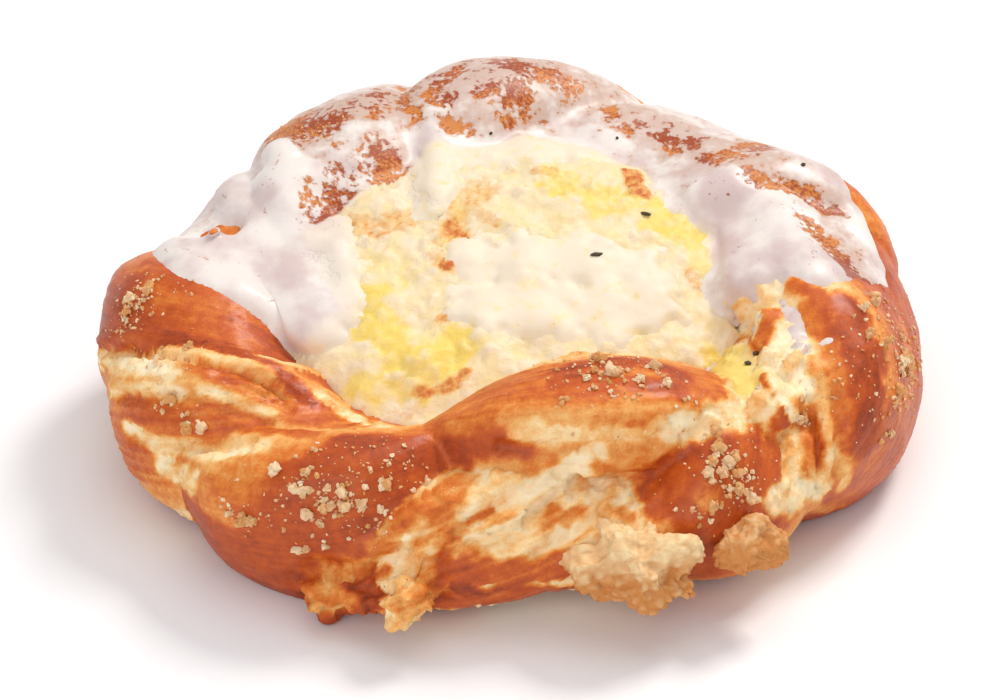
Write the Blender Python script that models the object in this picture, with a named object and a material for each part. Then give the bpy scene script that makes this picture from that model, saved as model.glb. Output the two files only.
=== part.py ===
"""A sweet bun: a twisted ring of yeast dough round a soft cheese filling, with icing and crumble.

Real size in metres, +Z up. The origin is on the table under the middle of the bun, and the front is
towards -Y. Angles round the ring are in degrees from +X, seen from above, so the front is at 270.
Angles round the rope of dough that makes the ring start at its outer side, with its top at 90.
"""

import math
import random
from collections import namedtuple

import bmesh
import bpy
from mathutils import Vector, noise
from mathutils.bvhtree import BVHTree

MM = 0.001
GAP = 0.45 * MM
FLAT_ANGLE = math.radians(2.5)

# The ring: an oval core line that the rope of dough follows, and the rope's oval section round it.
RING_RADIUS_X = 44.0 * MM
RING_RADIUS_Y = 36.5 * MM
MIDDLE = Vector((0.4 * MM, 1.5 * MM, 0.0))
DENT_ANGLE = 138.0
DENT_SPREAD = 24.0
DENT_SHARE = 0.10
ROPE_HALF_WIDTH = 18.5 * MM
ROPE_HEIGHT = 30.0 * MM
HEIGHT_SWING = 8.0 * MM
TALLEST_ANGLE = 88.0
CORE_SHARE = 0.80
CORE_STEPS = 40
CORE_SIDES = 10

# The strands of the twist. Each lies on the rope as a spindle that climbs from the foot of the outer
# side, over the top and down the inner side.
STRAND_SEAT = 0.42
STRAND_STEPS = 12
STRAND_SIDES = 10
STRAND_SQUARENESS = 2.6

# angle: where its middle crosses the outer side; lean: degrees round the ring for half a turn of the
# rope; start and end: the stretch of the rope's section that it climbs; half_width across the strand;
# swell: its thickness against the rope's; arch: how far the middle of its length is lifted.
Strand = namedtuple("Strand", "angle lean start end half_width swell arch")
STRANDS = (
    Strand(angle=170, lean=66, start=-80, end=168, half_width=12.5 * MM, swell=1.09, arch=-1.0 * MM),
    Strand(angle=197, lean=66, start=-80, end=168, half_width=13.0 * MM, swell=1.00, arch=-1.5 * MM),
    Strand(angle=224, lean=92, start=-42, end=128, half_width=14.0 * MM, swell=1.04, arch=-3.0 * MM),
    Strand(angle=257, lean=72, start=-40, end=110, half_width=10.5 * MM, swell=0.84, arch=0.0 * MM),
    Strand(angle=464, lean=-315, start=124, end=80, half_width=9.5 * MM, swell=1.12, arch=11.0 * MM),
    Strand(angle=302, lean=44, start=-50, end=168, half_width=13.0 * MM, swell=1.02, arch=0.0 * MM),
    Strand(angle=340, lean=74, start=-80, end=168, half_width=17.0 * MM, swell=1.05, arch=0.0 * MM),
    Strand(angle=26, lean=60, start=-80, end=168, half_width=18.0 * MM, swell=0.98, arch=-2.0 * MM),
    Strand(angle=72, lean=60, start=-80, end=168, half_width=11.0 * MM, swell=1.08, arch=2.0 * MM),
    Strand(angle=108, lean=56, start=-80, end=168, half_width=14.0 * MM, swell=1.08, arch=1.0 * MM),
    Strand(angle=138, lean=56, start=-80, end=168, half_width=11.0 * MM, swell=0.92, arch=-3.0 * MM),
)

# The floor of dough that closes the ring under the filling.
BASE_RADIUS = 34.0 * MM
BASE_THICKNESS = 7.0 * MM

# Lumps of dough and crumble baked onto the ring, at a place on the rope's section and a share of the
# way to its edge.
Lump = namedtuple("Lump", "angle roll share radius")
LUMPS = (
    Lump(angle=330, roll=76, share=0.97, radius=5.0 * MM),
    Lump(angle=320, roll=70, share=1.00, radius=4.4 * MM),
    Lump(angle=337, roll=94, share=0.97, radius=4.2 * MM),
    Lump(angle=244, roll=-36, share=1.04, radius=4.0 * MM),
    Lump(angle=250, roll=-24, share=0.98, radius=3.4 * MM),
    Lump(angle=256, roll=-14, share=1.00, radius=4.2 * MM),
    Lump(angle=140, roll=72, share=1.00, radius=2.6 * MM),
    Lump(angle=168, roll=84, share=1.00, radius=2.4 * MM),
)
LUMP_ROUGHNESS = 0.45
LUMP_GRAIN = 3.6 * MM

# Crumbs that show from a step away, in clusters: a place on the rope, the spread round the ring and
# round the rope, and a number of crumbs.
Cluster = namedtuple("Cluster", "angle roll spread_angle spread_roll number")
CLUSTERS = (
    Cluster(angle=244, roll=44, spread_angle=6.0, spread_roll=15.0, number=11),
    Cluster(angle=242, roll=8, spread_angle=4.0, spread_roll=7.0, number=2),
    Cluster(angle=231, roll=14, spread_angle=3.0, spread_roll=5.0, number=3),
    Cluster(angle=186, roll=50, spread_angle=3.0, spread_roll=12.0, number=6),
    Cluster(angle=212, roll=46, spread_angle=4.5, spread_roll=7.0, number=4),
    Cluster(angle=291, roll=92, spread_angle=8.0, spread_roll=5.0, number=6),
    Cluster(angle=304, roll=54, spread_angle=4.0, spread_roll=12.0, number=8),
    Cluster(angle=343, roll=36, spread_angle=9.0, spread_roll=11.0, number=5),
    Cluster(angle=335, roll=12, spread_angle=3.0, spread_roll=6.0, number=3),
)
CRUMB_RADIUS = (0.8 * MM, 1.7 * MM)
CRUMB_SINK = 0.35
CRUMB_SEED = 11

# The filling: a mound that slopes up to the taller back of the ring, with a curdled top.
CHEESE_RADIUS_X = 38.5 * MM
CHEESE_RADIUS_Y = 31.0 * MM
CHEESE_LEVEL = 23.0 * MM
CHEESE_TILT = 0.30
CHEESE_CROWN = 7.0 * MM
CURD_SIZE = 6.0 * MM
CURD_HEIGHT = 1.3 * MM
CHEESE_RINGS = 9
CHEESE_SIDES = 36

# The icing: a skin over the back of the ring and across the filling. It reaches a share of the way
# from the ring's middle to the rope's outer edge, which changes with the angle round the ring.
ICING_THICKNESS = 1.1 * MM
ICING_LOWEST = 14.0 * MM
ICING_HIGHEST = 60.0 * MM
ICING_EDGE_ROLL = 46.0
ICING_REACH = (
    (0, 1.00), (168, 1.00), (182, 0.88), (195, 0.60), (212, 0.26), (240, 0.25),
    (275, 0.33), (305, 0.42), (332, 0.58), (347, 0.82), (360, 1.00),
)
ICING_SIDES = 40

# The two crumble lumps at the foot of the front: middle and half sizes.
FOOT_LUMPS = (
    ("crumble_lump_large", Vector((18.4, -48.4, 12.2)) * MM, Vector((9.6, 6.0, 6.0)) * MM),
    ("crumble_lump_small", Vector((34.8, -44.4, 12.6)) * MM, Vector((5.8, 4.6, 4.4)) * MM),
)

# Colour as linear red, green and blue, then roughness.
Finish = namedtuple("Finish", "colour roughness")
FINISHES = {
    "dough": Finish((0.47, 0.17, 0.045), 0.35),
    "cheese": Finish((0.86, 0.75, 0.36), 0.55),
    "icing": Finish((0.86, 0.82, 0.80), 0.30),
    "crumble": Finish((0.72, 0.50, 0.25), 0.85),
}


def ring_point(angle):
    """The ring's core line at this angle, at the height of the rope's middle."""
    turn = math.radians(angle)
    dent = 1 - DENT_SHARE * math.exp(-(((angle % 360 - DENT_ANGLE) / DENT_SPREAD) ** 2))
    level = Vector((RING_RADIUS_X * math.cos(turn), RING_RADIUS_Y * math.sin(turn), 0))
    return MIDDLE + dent * level + Vector((0, 0, rope_half_height(angle)))


def rope_half_height(angle):
    """Half the rope's height: it is tallest at the back and lowest at the front left."""
    return (ROPE_HEIGHT + HEIGHT_SWING * math.cos(math.radians(angle - TALLEST_ANGLE))) / 2


def outward(angle):
    """The level direction away from the ring's middle."""
    turn = math.radians(angle)
    return Vector((math.cos(turn), math.sin(turn), 0.0))


def rope_point(angle, roll, share):
    """A point in the rope's section, at a share of the way from its middle to its oval edge."""
    lift = math.radians(roll)
    level = outward(angle) * (ROPE_HALF_WIDTH * math.cos(lift))
    return ring_point(angle) + share * (level + Vector((0, 0, rope_half_height(angle) * math.sin(lift))))


def strand_point(strand, roll):
    """A point on the strand's middle line, where it has climbed to this angle round the rope."""
    point = rope_point(strand.angle + strand.lean * roll / 180, roll, STRAND_SEAT)
    share = (roll - strand.start) / (strand.end - strand.start)
    point.z += strand.arch * math.sin(math.pi * share)
    return point


def squared(value, power):
    """A sine or cosine pushed outwards, which turns a circle into a rounded square."""
    return math.copysign(abs(value) ** (2 / power), value)


def tube(name, rings, poles):
    """A closed mesh through rings of points, ending in a point at each pole, or joined end to end."""
    shape = bmesh.new()
    loops = [[shape.verts.new(point) for point in ring] for ring in rings]
    pairs = list(zip(loops, loops[1:] + ([] if poles else loops[:1])))
    for here, there in pairs:
        for i in range(len(here)):
            j = (i + 1) % len(here)
            shape.faces.new((here[i], here[j], there[j]))
            shape.faces.new((here[i], there[j], there[i]))
    for loop, pole in zip((loops[0], loops[-1]), poles):
        tip = shape.verts.new(pole)
        for i in range(len(loop)):
            shape.faces.new((loop[i], loop[(i + 1) % len(loop)], tip))
    bmesh.ops.recalc_face_normals(shape, faces=shape.faces)
    return finished(name, shape)


def finished(name, shape):
    """Turns a bmesh into a mesh and frees it."""
    mesh = bpy.data.meshes.new(name)
    shape.to_mesh(mesh)
    shape.free()
    return mesh


def add(name, mesh, collection=None):
    """Puts a mesh in the scene, or in a collection of pieces that are to be joined."""
    made = bpy.data.objects.new(name, mesh)
    (collection or bpy.context.scene.collection).objects.link(made)
    return made


def strand_mesh(strand, spare):
    """One strand: a rounded oblong swept along its climb, tapered to both ends and bowed to the ring."""
    steps = [i / STRAND_STEPS for i in range(STRAND_STEPS + 1)]
    rolls = [strand.start + (strand.end - strand.start) * s for s in steps]
    path = [strand_point(strand, roll) for roll in rolls]
    rings = []
    for i in range(1, STRAND_STEPS):
        angle = strand.angle + strand.lean * rolls[i] / 180
        along = (path[i + 1] - path[i - 1]).normalized()
        across = along.cross(path[i] - ring_point(angle)).normalized()
        up = across.cross(along).normalized()
        taper = math.sin(math.pi * steps[i]) ** 0.5
        lift = abs(math.sin(math.radians(rolls[i])))
        reach = ROPE_HALF_WIDTH + (rope_half_height(angle) - ROPE_HALF_WIDTH) * lift
        thick = (1 - STRAND_SEAT) * reach * strand.swell * taper + spare
        wide = strand.half_width * taper + spare
        ring = []
        for k in range(STRAND_SIDES):
            t = 2 * math.pi * k / STRAND_SIDES
            side = across * (wide * squared(math.cos(t), STRAND_SQUARENESS))
            bow = side.xy.length_squared / (2 * (path[i] - MIDDLE).xy.length)
            rise = up * (thick * squared(math.sin(t), STRAND_SQUARENESS))
            ring.append(path[i] + side + rise - outward(angle) * bow)
        rings.append(ring)
    ends = [tip + (tip - inner).normalized() * spare for tip, inner in (path[:2], path[:-3:-1])]
    return tube("strand", rings, ends)


def core_mesh(spare):
    """The plain ring inside the twist, which the strands lie on."""
    rings = []
    for i in range(CORE_STEPS):
        angle = 360 * i / CORE_STEPS
        share = CORE_SHARE + spare / ROPE_HALF_WIDTH
        rings.append([rope_point(angle, 360 * k / CORE_SIDES, share) for k in range(CORE_SIDES)])
    return tube("core", rings, ())


def disc_mesh(name, radius, bottom, top):
    """A closed disc."""
    shape = bmesh.new()
    bmesh.ops.create_cone(
        shape, cap_ends=True, segments=48, radius1=radius, radius2=radius, depth=top - bottom
    )
    bmesh.ops.translate(shape, verts=shape.verts, vec=(0, 0, (top + bottom) / 2))
    return finished(name, shape)


def lump_mesh(name, middle, sizes, detail, spare=0.0):
    """A rough lump: a ball of triangles with its points pushed in and out by smooth noise."""
    shape = bmesh.new()
    bmesh.ops.create_icosphere(shape, subdivisions=detail, radius=1.0)
    for vert in shape.verts:
        way = vert.co.normalized()
        place = Vector((way.x * sizes.x, way.y * sizes.y, way.z * sizes.z))
        swell = 1 + LUMP_ROUGHNESS * noise.noise((middle + place) / LUMP_GRAIN)
        vert.co = middle + place * swell + way * spare
    return finished(name, shape)


def cheese_top(x, y):
    """Height of the filling's top over a point, curds included."""
    level = Vector((x, y, 0)) - MIDDLE
    share = (level.x / CHEESE_RADIUS_X) ** 2 + (level.y / CHEESE_RADIUS_Y) ** 2
    curds = CURD_HEIGHT * noise.noise(Vector((x, y, 0)) / CURD_SIZE)
    return CHEESE_LEVEL + CHEESE_TILT * y + CHEESE_CROWN * (1 - share ** 2) + curds


def cheese_mesh(spare=0.0):
    """The filling before it is fitted to the dough: a mound on a flat foot, its top lifted by a spare."""
    bottom = BASE_THICKNESS + GAP
    rings = []
    for i in range(1, CHEESE_RINGS + 1):
        ring = []
        for k in range(CHEESE_SIDES):
            turn = 2 * math.pi * k / CHEESE_SIDES
            x = MIDDLE.x + CHEESE_RADIUS_X * i / CHEESE_RINGS * math.cos(turn)
            y = MIDDLE.y + CHEESE_RADIUS_Y * i / CHEESE_RINGS * math.sin(turn)
            ring.append(Vector((x, y, cheese_top(x, y) + spare)))
        rings.append(ring)
    foot = [Vector((point.x, point.y, bottom)) for point in rings[-1]]
    top = Vector((MIDDLE.x, MIDDLE.y, cheese_top(MIDDLE.x, MIDDLE.y) + spare))
    return tube("cheese", rings + [foot], (top, Vector((MIDDLE.x, MIDDLE.y, bottom))))


def icing_reach(angle):
    """How far the icing reaches from the ring's middle, by straight steps between its named angles."""
    for (low, near), (high, far) in zip(ICING_REACH, ICING_REACH[1:]):
        if low <= angle <= high:
            share = near + (far - near) * (angle - low) / (high - low)
    return share * (rope_point(angle, ICING_EDGE_ROLL, 1.0) - MIDDLE).xy.length


def icing_area_mesh():
    """An upright block over the area that the icing covers."""
    rings = []
    for z in (ICING_LOWEST, ICING_HIGHEST):
        ring = []
        for k in range(ICING_SIDES):
            angle = 360 * k / ICING_SIDES
            ring.append(MIDDLE + outward(angle) * icing_reach(angle) + Vector((0, 0, z)))
        rings.append(ring)
    return tube("icing_area", rings, [MIDDLE + Vector((0, 0, z)) for z in (ICING_LOWEST, ICING_HIGHEST)])


def settle(base):
    """Applies the object's modifiers."""
    graph = bpy.context.evaluated_depsgraph_get()
    mesh = bpy.data.meshes.new_from_object(base.evaluated_get(graph))
    base.modifiers.clear()
    base.data = mesh


def join(base, pieces, solver="EXACT"):
    """Joins a collection of pieces to the base object and removes them."""
    bpy.context.scene.collection.children.link(pieces)
    union = base.modifiers.new("join", "BOOLEAN")
    union.operation = "UNION"
    union.operand_type = "COLLECTION"
    union.collection = pieces
    union.solver = solver
    settle(base)
    for piece in list(pieces.objects):
        bpy.data.objects.remove(piece)
    bpy.data.collections.remove(pieces)


def cut(base, cutter, operation="DIFFERENCE", solver="EXACT"):
    """Cuts one object with another and removes the cutter."""
    cutting = base.modifiers.new("cut", "BOOLEAN")
    cutting.operation = operation
    cutting.object = cutter
    cutting.solver = solver
    settle(base)
    bpy.data.objects.remove(cutter)


def thin_out(base):
    """Melts neighbouring faces that lie nearly in one plane into one."""
    thinning = base.modifiers.new("thin_out", "DECIMATE")
    thinning.decimate_type = "DISSOLVE"
    thinning.angle_limit = FLAT_ANGLE
    settle(base)


def keep_body(base):
    """Keeps the outer skin of the largest body: sealed hollows are filled and loose scraps dropped."""
    shape = bmesh.new()
    shape.from_mesh(base.data)
    bmesh.ops.triangulate(shape, faces=shape.faces)
    bodies = []
    left = set(shape.faces)
    while left:
        body = [left.pop()]
        for face in body:
            for edge in face.edges:
                for other in edge.link_faces:
                    if other in left:
                        left.remove(other)
                        body.append(other)
        bodies.append(body)
    volume = [sum(f.calc_center_median().dot(f.normal) * f.calc_area() for f in b) for b in bodies]
    best = volume.index(max(volume))
    for i, body in enumerate(bodies):
        if i != best:
            bmesh.ops.delete(shape, geom=body, context="FACES")
    loose = [vert for vert in shape.verts if not vert.link_faces]
    bmesh.ops.delete(shape, geom=loose, context="VERTS")
    shape.to_mesh(base.data)
    shape.free()


def dress(base, finish):
    """Gives the object its material and smooth shading with sharp creases."""
    material = bpy.data.materials.get(finish) or bpy.data.materials.new(finish)
    material.use_nodes = True
    shader = material.node_tree.nodes["Principled BSDF"]
    shader.inputs["Base Color"].default_value = (*FINISHES[finish].colour, 1.0)
    shader.inputs["Roughness"].default_value = FINISHES[finish].roughness
    shader.inputs["Metallic"].default_value = 0.0
    base.data.materials.clear()
    base.data.materials.append(material)
    base.data.shade_smooth()
    base.data.set_sharp_from_angle(angle=math.radians(50))


def surface_of(base):
    """The object's surface, for finding points on it."""
    return BVHTree.FromObject(base, bpy.context.evaluated_depsgraph_get())


def table(name="table"):
    """A slab under the bun that cuts its flat foot."""
    return add(name, disc_mesh(name, 0.2, -0.05, 0.0))


def dough(name, spare=0.0):
    """The twisted ring on its floor, grown by a spare thickness where it serves as a cutter."""
    ring = add(name, core_mesh(spare))
    pieces = bpy.data.collections.new("pieces")
    for i, strand in enumerate(STRANDS):
        add(f"strand_{i}", strand_mesh(strand, spare), pieces)
    for i, lump in enumerate(LUMPS):
        middle = rope_point(lump.angle, lump.roll, lump.share)
        sizes = Vector((1, 1, 1)) * lump.radius
        add(f"lump_{i}", lump_mesh("lump", middle, sizes, 2, spare), pieces)
    add("floor", disc_mesh("floor", BASE_RADIUS, -2 * MM, BASE_THICKNESS), pieces)
    join(ring, pieces)
    return ring


def filled_dough(name, spare):
    """The ring and its filling as one body, grown by a spare thickness."""
    filled = dough(name, spare)
    pieces = bpy.data.collections.new("pieces")
    add("filling", cheese_mesh(spare), pieces)
    join(filled, pieces)
    return filled


def crumbs(ring):
    """The crumbs of every cluster, half sunk in the ring's surface."""
    draw = random.Random(CRUMB_SEED)
    surface = surface_of(ring)
    pieces = bpy.data.collections.new("crumbs")
    for cluster in CLUSTERS:
        for _ in range(cluster.number):
            angle = cluster.angle + draw.uniform(-1, 1) * cluster.spread_angle
            roll = cluster.roll + draw.uniform(-1, 1) * cluster.spread_roll
            start = rope_point(angle, roll, 3.0)
            spot, normal, _, _ = surface.ray_cast(start, ring_point(angle) - start)
            radius = CRUMB_RADIUS[0] + (CRUMB_RADIUS[1] - CRUMB_RADIUS[0]) * draw.random() ** 2
            sizes = Vector([radius * draw.uniform(0.8, 1.2) for _ in range(3)])
            middle = spot + normal * (radius * CRUMB_SINK)
            add("crumb", lump_mesh("crumb", middle, sizes, 1), pieces)
    return pieces


def main():
    for old in list(bpy.data.objects):
        bpy.data.objects.remove(old)

    ring = dough("dough")
    cut(ring, table())
    thin_out(ring)
    keep_body(ring)

    cheese = add("cheese_filling", cheese_mesh())
    cut(cheese, dough("dough_room", GAP))
    thin_out(cheese)
    keep_body(cheese)
    dress(cheese, "cheese")

    icing = filled_dough("icing", GAP + ICING_THICKNESS)
    cut(icing, add("icing_area", icing_area_mesh()), "INTERSECT", "MANIFOLD")
    cut(icing, filled_dough("bun_room", GAP), "DIFFERENCE", "MANIFOLD")
    thin_out(icing)
    keep_body(icing)
    dress(icing, "icing")

    for name, middle, sizes in FOOT_LUMPS:
        lump = add(name, lump_mesh(name, middle, sizes, 3))
        cut(lump, dough("dough_room", GAP))
        cut(lump, table())
        thin_out(lump)
        keep_body(lump)
        dress(lump, "crumble")

    join(ring, crumbs(ring), "MANIFOLD")
    keep_body(ring)
    dress(ring, "dough")


main()
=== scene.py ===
"""Looks of a cheese sweet bun: a twisted ring of egg-washed dough, curd filling, icing and crumble.

Metres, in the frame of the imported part: +Z is up, the origin is on the table under the middle of the
bun and the front is towards -Y. Marks that are read off the photograph are lines in its pixels,
which this script casts onto the bun from the photograph's view.
"""

import logging
import math
import random
from dataclasses import dataclass, field
from enum import Enum
from typing import ClassVar

import bmesh
import bpy
import numpy as np
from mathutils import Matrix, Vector, noise
from mathutils.bvhtree import BVHTree


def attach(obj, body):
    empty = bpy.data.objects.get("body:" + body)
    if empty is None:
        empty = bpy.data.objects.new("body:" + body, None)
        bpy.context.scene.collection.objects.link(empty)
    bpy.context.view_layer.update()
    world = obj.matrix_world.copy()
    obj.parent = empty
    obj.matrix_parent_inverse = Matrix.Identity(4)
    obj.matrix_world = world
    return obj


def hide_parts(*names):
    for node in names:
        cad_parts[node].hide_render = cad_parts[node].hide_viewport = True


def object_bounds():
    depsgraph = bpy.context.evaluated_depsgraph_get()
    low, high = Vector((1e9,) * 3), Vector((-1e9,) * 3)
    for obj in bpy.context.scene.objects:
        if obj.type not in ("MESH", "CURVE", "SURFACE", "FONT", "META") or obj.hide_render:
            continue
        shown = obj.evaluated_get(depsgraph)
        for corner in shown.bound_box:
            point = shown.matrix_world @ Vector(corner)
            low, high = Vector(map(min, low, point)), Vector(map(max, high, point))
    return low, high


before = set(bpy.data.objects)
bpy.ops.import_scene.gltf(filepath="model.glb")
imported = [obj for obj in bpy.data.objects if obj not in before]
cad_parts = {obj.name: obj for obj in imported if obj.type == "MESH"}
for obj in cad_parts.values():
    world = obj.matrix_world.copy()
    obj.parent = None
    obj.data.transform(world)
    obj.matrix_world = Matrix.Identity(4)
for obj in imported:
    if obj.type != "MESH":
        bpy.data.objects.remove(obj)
CAD_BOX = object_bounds()

MM = 0.001
BODY = "root"
TALLEST = CAD_BOX[1][2]
log = logging.getLogger("cheese_bun")

Tree = bpy.types.NodeTree
Source = bpy.types.Node | bpy.types.NodeSocket
Faces = list[tuple[int, ...]]


# Helpers


def srgb(code: str) -> tuple[float, float, float, float]:
    """Turns an sRGB hex colour into the linear colour that shaders take.

    Args:
        code: the colour, such as "#F4E0B0".

    Returns:
        Linear red, green, blue and an alpha of one.
    """
    parts = [int(code[i:i + 2], 16) / 255 for i in (1, 3, 5)]
    linear = [c / 12.92 if c <= 0.04045 else ((c + 0.055) / 1.055) ** 2.4 for c in parts]
    return (*linear, 1.0)


def smooth(low: float, high: float, value: np.ndarray) -> np.ndarray:
    """Eases a value from 0 at low to 1 at high.

    Args:
        low: where the result is 0; it may lie above high.
        high: where the result is 1.
        value: the values to ease.

    Returns:
        The eased values, from 0 to 1.
    """
    share = np.clip((value - low) / (high - low), 0.0, 1.0)
    return share * share * (3.0 - 2.0 * share)


def grain(points: np.ndarray, size: object, octaves: int = 1, shift: float = 0.0) -> np.ndarray:
    """Smooth noise at each point.

    Args:
        points: places in metres, one a row.
        size: the size of one blotch in metres, or one size for each axis.
        octaves: how many finer layers are added up.
        shift: moves the noise, so that two uses differ.

    Returns:
        Noise of about -1 to 1.
    """
    scaled = (points / np.asarray(size) + shift).tolist()
    if octaves == 1:
        return np.array([noise.noise(p) for p in scaled])
    return np.array([noise.fractal(p, 0.9, 2.1, octaves) for p in scaled])


def ridges(points: np.ndarray, size: object, shift: float = 0.0) -> np.ndarray:
    """Noise that peaks in thin crests, 1 on a crest and about 0 between them."""
    return 1.0 - np.clip(np.abs(grain(points, size, 1, shift)) * 2.6, 0.0, 1.0)


def curds(points: np.ndarray, size: float, shift: float = 0.0) -> np.ndarray:
    """Round lumps packed side by side.

    Args:
        points: places in metres, one a row.
        size: the size of one lump in metres.
        shift: moves the lumps, so that two uses differ.

    Returns:
        1 in the middle of a lump and 0 in the crease between two.
    """
    scaled = (points / size + shift).tolist()
    gaps = np.array([noise.voronoi(p)[0][:2] for p in scaled])
    return smooth(0.0, 0.55, gaps[:, 1] - gaps[:, 0])


def flakes(points: np.ndarray, size: object, shift: float = 0.0) -> np.ndarray:
    """Flat flakes side by side, each at a level of its own.

    Args:
        points: places in metres, one a row.
        size: the size of one flake in metres along each axis.
        shift: moves the flakes, so that two uses differ.

    Returns:
        The level of the flake at each point, from 0 to 1.
    """
    scaled = (points / np.asarray(size) + shift).tolist()
    found = [noise.voronoi(p) for p in scaled]
    seeds = np.array([spots[0][:] for _, spots in found])
    gaps = np.array([far[1] - far[0] for far, _ in found])
    level = np.abs(np.sin(seeds @ np.array([12.9, 78.2, 37.7])) * 43.7) % 1.0
    return 0.5 + (level - 0.5) * smooth(0.0, 0.18, gaps)


def feed(tree: Tree, node: bpy.types.Node, links: dict[object, Source]) -> None:
    """Links outputs into a node.

    Args:
        tree: the node tree.
        node: the node that they feed.
        links: a socket, or a node for its first output, by the name or number of the input it feeds.
    """
    for key, source in links.items():
        socket = source if isinstance(source, bpy.types.NodeSocket) else source.outputs[0]
        tree.links.new(socket, node.inputs[key])


def add_node(
    tree: Tree,
    kind: str,
    settings: dict[object, object] | None = None,
    links: dict[object, Source] | None = None,
) -> bpy.types.Node:
    """Adds one shader node with its settings and the links into it.

    Args:
        tree: the node tree that gets the node.
        kind: the node's type, such as "Mix" for ShaderNodeMix.
        settings: properties of the node by name, or values of its input sockets by name or number.
        links: what feeds its inputs.

    Returns:
        The new node.
    """
    node = tree.nodes.new("ShaderNode" + kind)
    for key, value in (settings or {}).items():
        if isinstance(key, str) and hasattr(node, key):
            setattr(node, key, value)
        else:
            node.inputs[key].default_value = value
    feed(tree, node, links or {})
    return node


def mask(
    tree: Tree,
    parts: tuple[tuple[Source, float], ...],
    span: tuple[float, float],
    ends: tuple[float, float] = (0.0, 1.0),
    ease: str = "LINEAR",
) -> bpy.types.Node:
    """Adds shares up by their weights and spreads the sum between two ends.

    Args:
        tree: the node tree.
        parts: the shares, each with its weight.
        span: the sums that give the first and the second end.
        ends: the results there.
        ease: how the result goes from one end to the other.

    Returns:
        The node that gives the result.
    """
    total = None
    for source, weight in parts:
        links = {0: source} if total is None else {0: source, 2: total}
        total = add_node(tree, "Math", {"operation": "MULTIPLY_ADD", 1: weight, 2: 0.0}, links)
    names = ("From Min", "From Max", "To Min", "To Max")
    settings = {"interpolation_type": ease, **dict(zip(names, (*span, *ends)))}
    return add_node(tree, "MapRange", settings, {"Value": total})


def layered(
    tree: Tree, base: str | Source, layers: tuple[tuple[Source, str | Source], ...]
) -> bpy.types.NodeSocket:
    """Lays colours over one another.

    Args:
        tree: the node tree.
        base: the lowest colour, as sRGB hex or from a node.
        layers: the share of each colour on top, and the colour.

    Returns:
        The socket that gives the colour on top.
    """
    for share, over in layers:
        settings, links = {"data_type": "RGBA"}, {0: share}
        for key, colour in ((6, base), (7, over)):
            if isinstance(colour, str):
                settings[key] = srgb(colour)
            else:
                links[key] = colour
        base = add_node(tree, "Mix", settings, links).outputs[2]
    return base


def bumps(tree: Tree, waves: tuple[tuple[Source, float, float], ...]) -> bpy.types.Node:
    """Stacks bumps.

    Args:
        tree: the node tree.
        waves: what raises each bump, its strength, less than nothing where it presses in, and its
            height in metres.

    Returns:
        The node that gives the normal.
    """
    node = None
    for height, strength, distance in waves:
        settings = {"Strength": abs(strength), "Distance": distance, "invert": strength < 0}
        links = {"Height": height} if node is None else {"Height": height, "Normal": node}
        node = add_node(tree, "Bump", settings, links)
    return node


def placed(name: str, data: bpy.types.ID) -> bpy.types.Object:
    """Makes an object of a mesh, a lamp or a camera and links it to the scene."""
    piece = bpy.data.objects.new(name, data)
    bpy.context.scene.collection.objects.link(piece)
    return piece


def mesh_of(name: str, shape: bmesh.types.BMesh) -> bpy.types.Mesh:
    """Turns a shape into a smooth mesh and frees it."""
    mesh = bpy.data.meshes.new(name)
    shape.to_mesh(mesh)
    shape.free()
    mesh.shade_smooth()
    return mesh


def mesh_piece(name: str, points: np.ndarray, faces: Faces) -> bpy.types.Object:
    """Makes an object from points and faces and links it to the scene.

    Args:
        name: the name of the piece.
        points: the corners in metres, one a row.
        faces: the corners of each face by number.

    Returns:
        The new object, shaded smooth.
    """
    mesh = bpy.data.meshes.new(name)
    mesh.from_pydata(np.asarray(points).tolist(), [], faces)
    mesh.validate()
    mesh.shade_smooth()
    return placed(name, mesh)


def corners(mesh: bpy.types.Mesh) -> tuple[np.ndarray, np.ndarray]:
    """Reads a mesh's points and the directions that they face.

    Args:
        mesh: the mesh to read.

    Returns:
        The points and their unit normals, one a row.
    """
    count = len(mesh.vertices)
    points = np.empty(count * 3)
    normals = np.empty(count * 3)
    mesh.vertices.foreach_get("co", points)
    mesh.vertex_normals.foreach_get("vector", normals)
    return points.reshape(-1, 3), normals.reshape(-1, 3)


def place_corners(mesh: bpy.types.Mesh, points: np.ndarray) -> None:
    """Moves a mesh's points.

    Args:
        mesh: the mesh to change.
        points: the new places, one a row.
    """
    mesh.vertices.foreach_set("co", np.asarray(points).ravel())
    mesh.update()


def paint(mesh: bpy.types.Mesh, name: str, values: np.ndarray) -> None:
    """Stores a number or a vector on each point, for the shader to read.

    Args:
        mesh: the mesh that gets the values.
        name: the attribute's name.
        values: one number or one row of three for each point.
    """
    kind = "FLOAT" if values.ndim == 1 else "FLOAT_VECTOR"
    layer = mesh.attributes.new(name, kind, "POINT")
    layer.data.foreach_set("value" if values.ndim == 1 else "vector", values.ravel())


def neighbours(mesh: bpy.types.Mesh) -> tuple[np.ndarray, np.ndarray]:
    """Both ends of each edge of a mesh, by point number."""
    ends = np.empty(len(mesh.edges) * 2, dtype=np.int64)
    mesh.edges.foreach_get("vertices", ends)
    return ends[0::2], ends[1::2]


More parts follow.
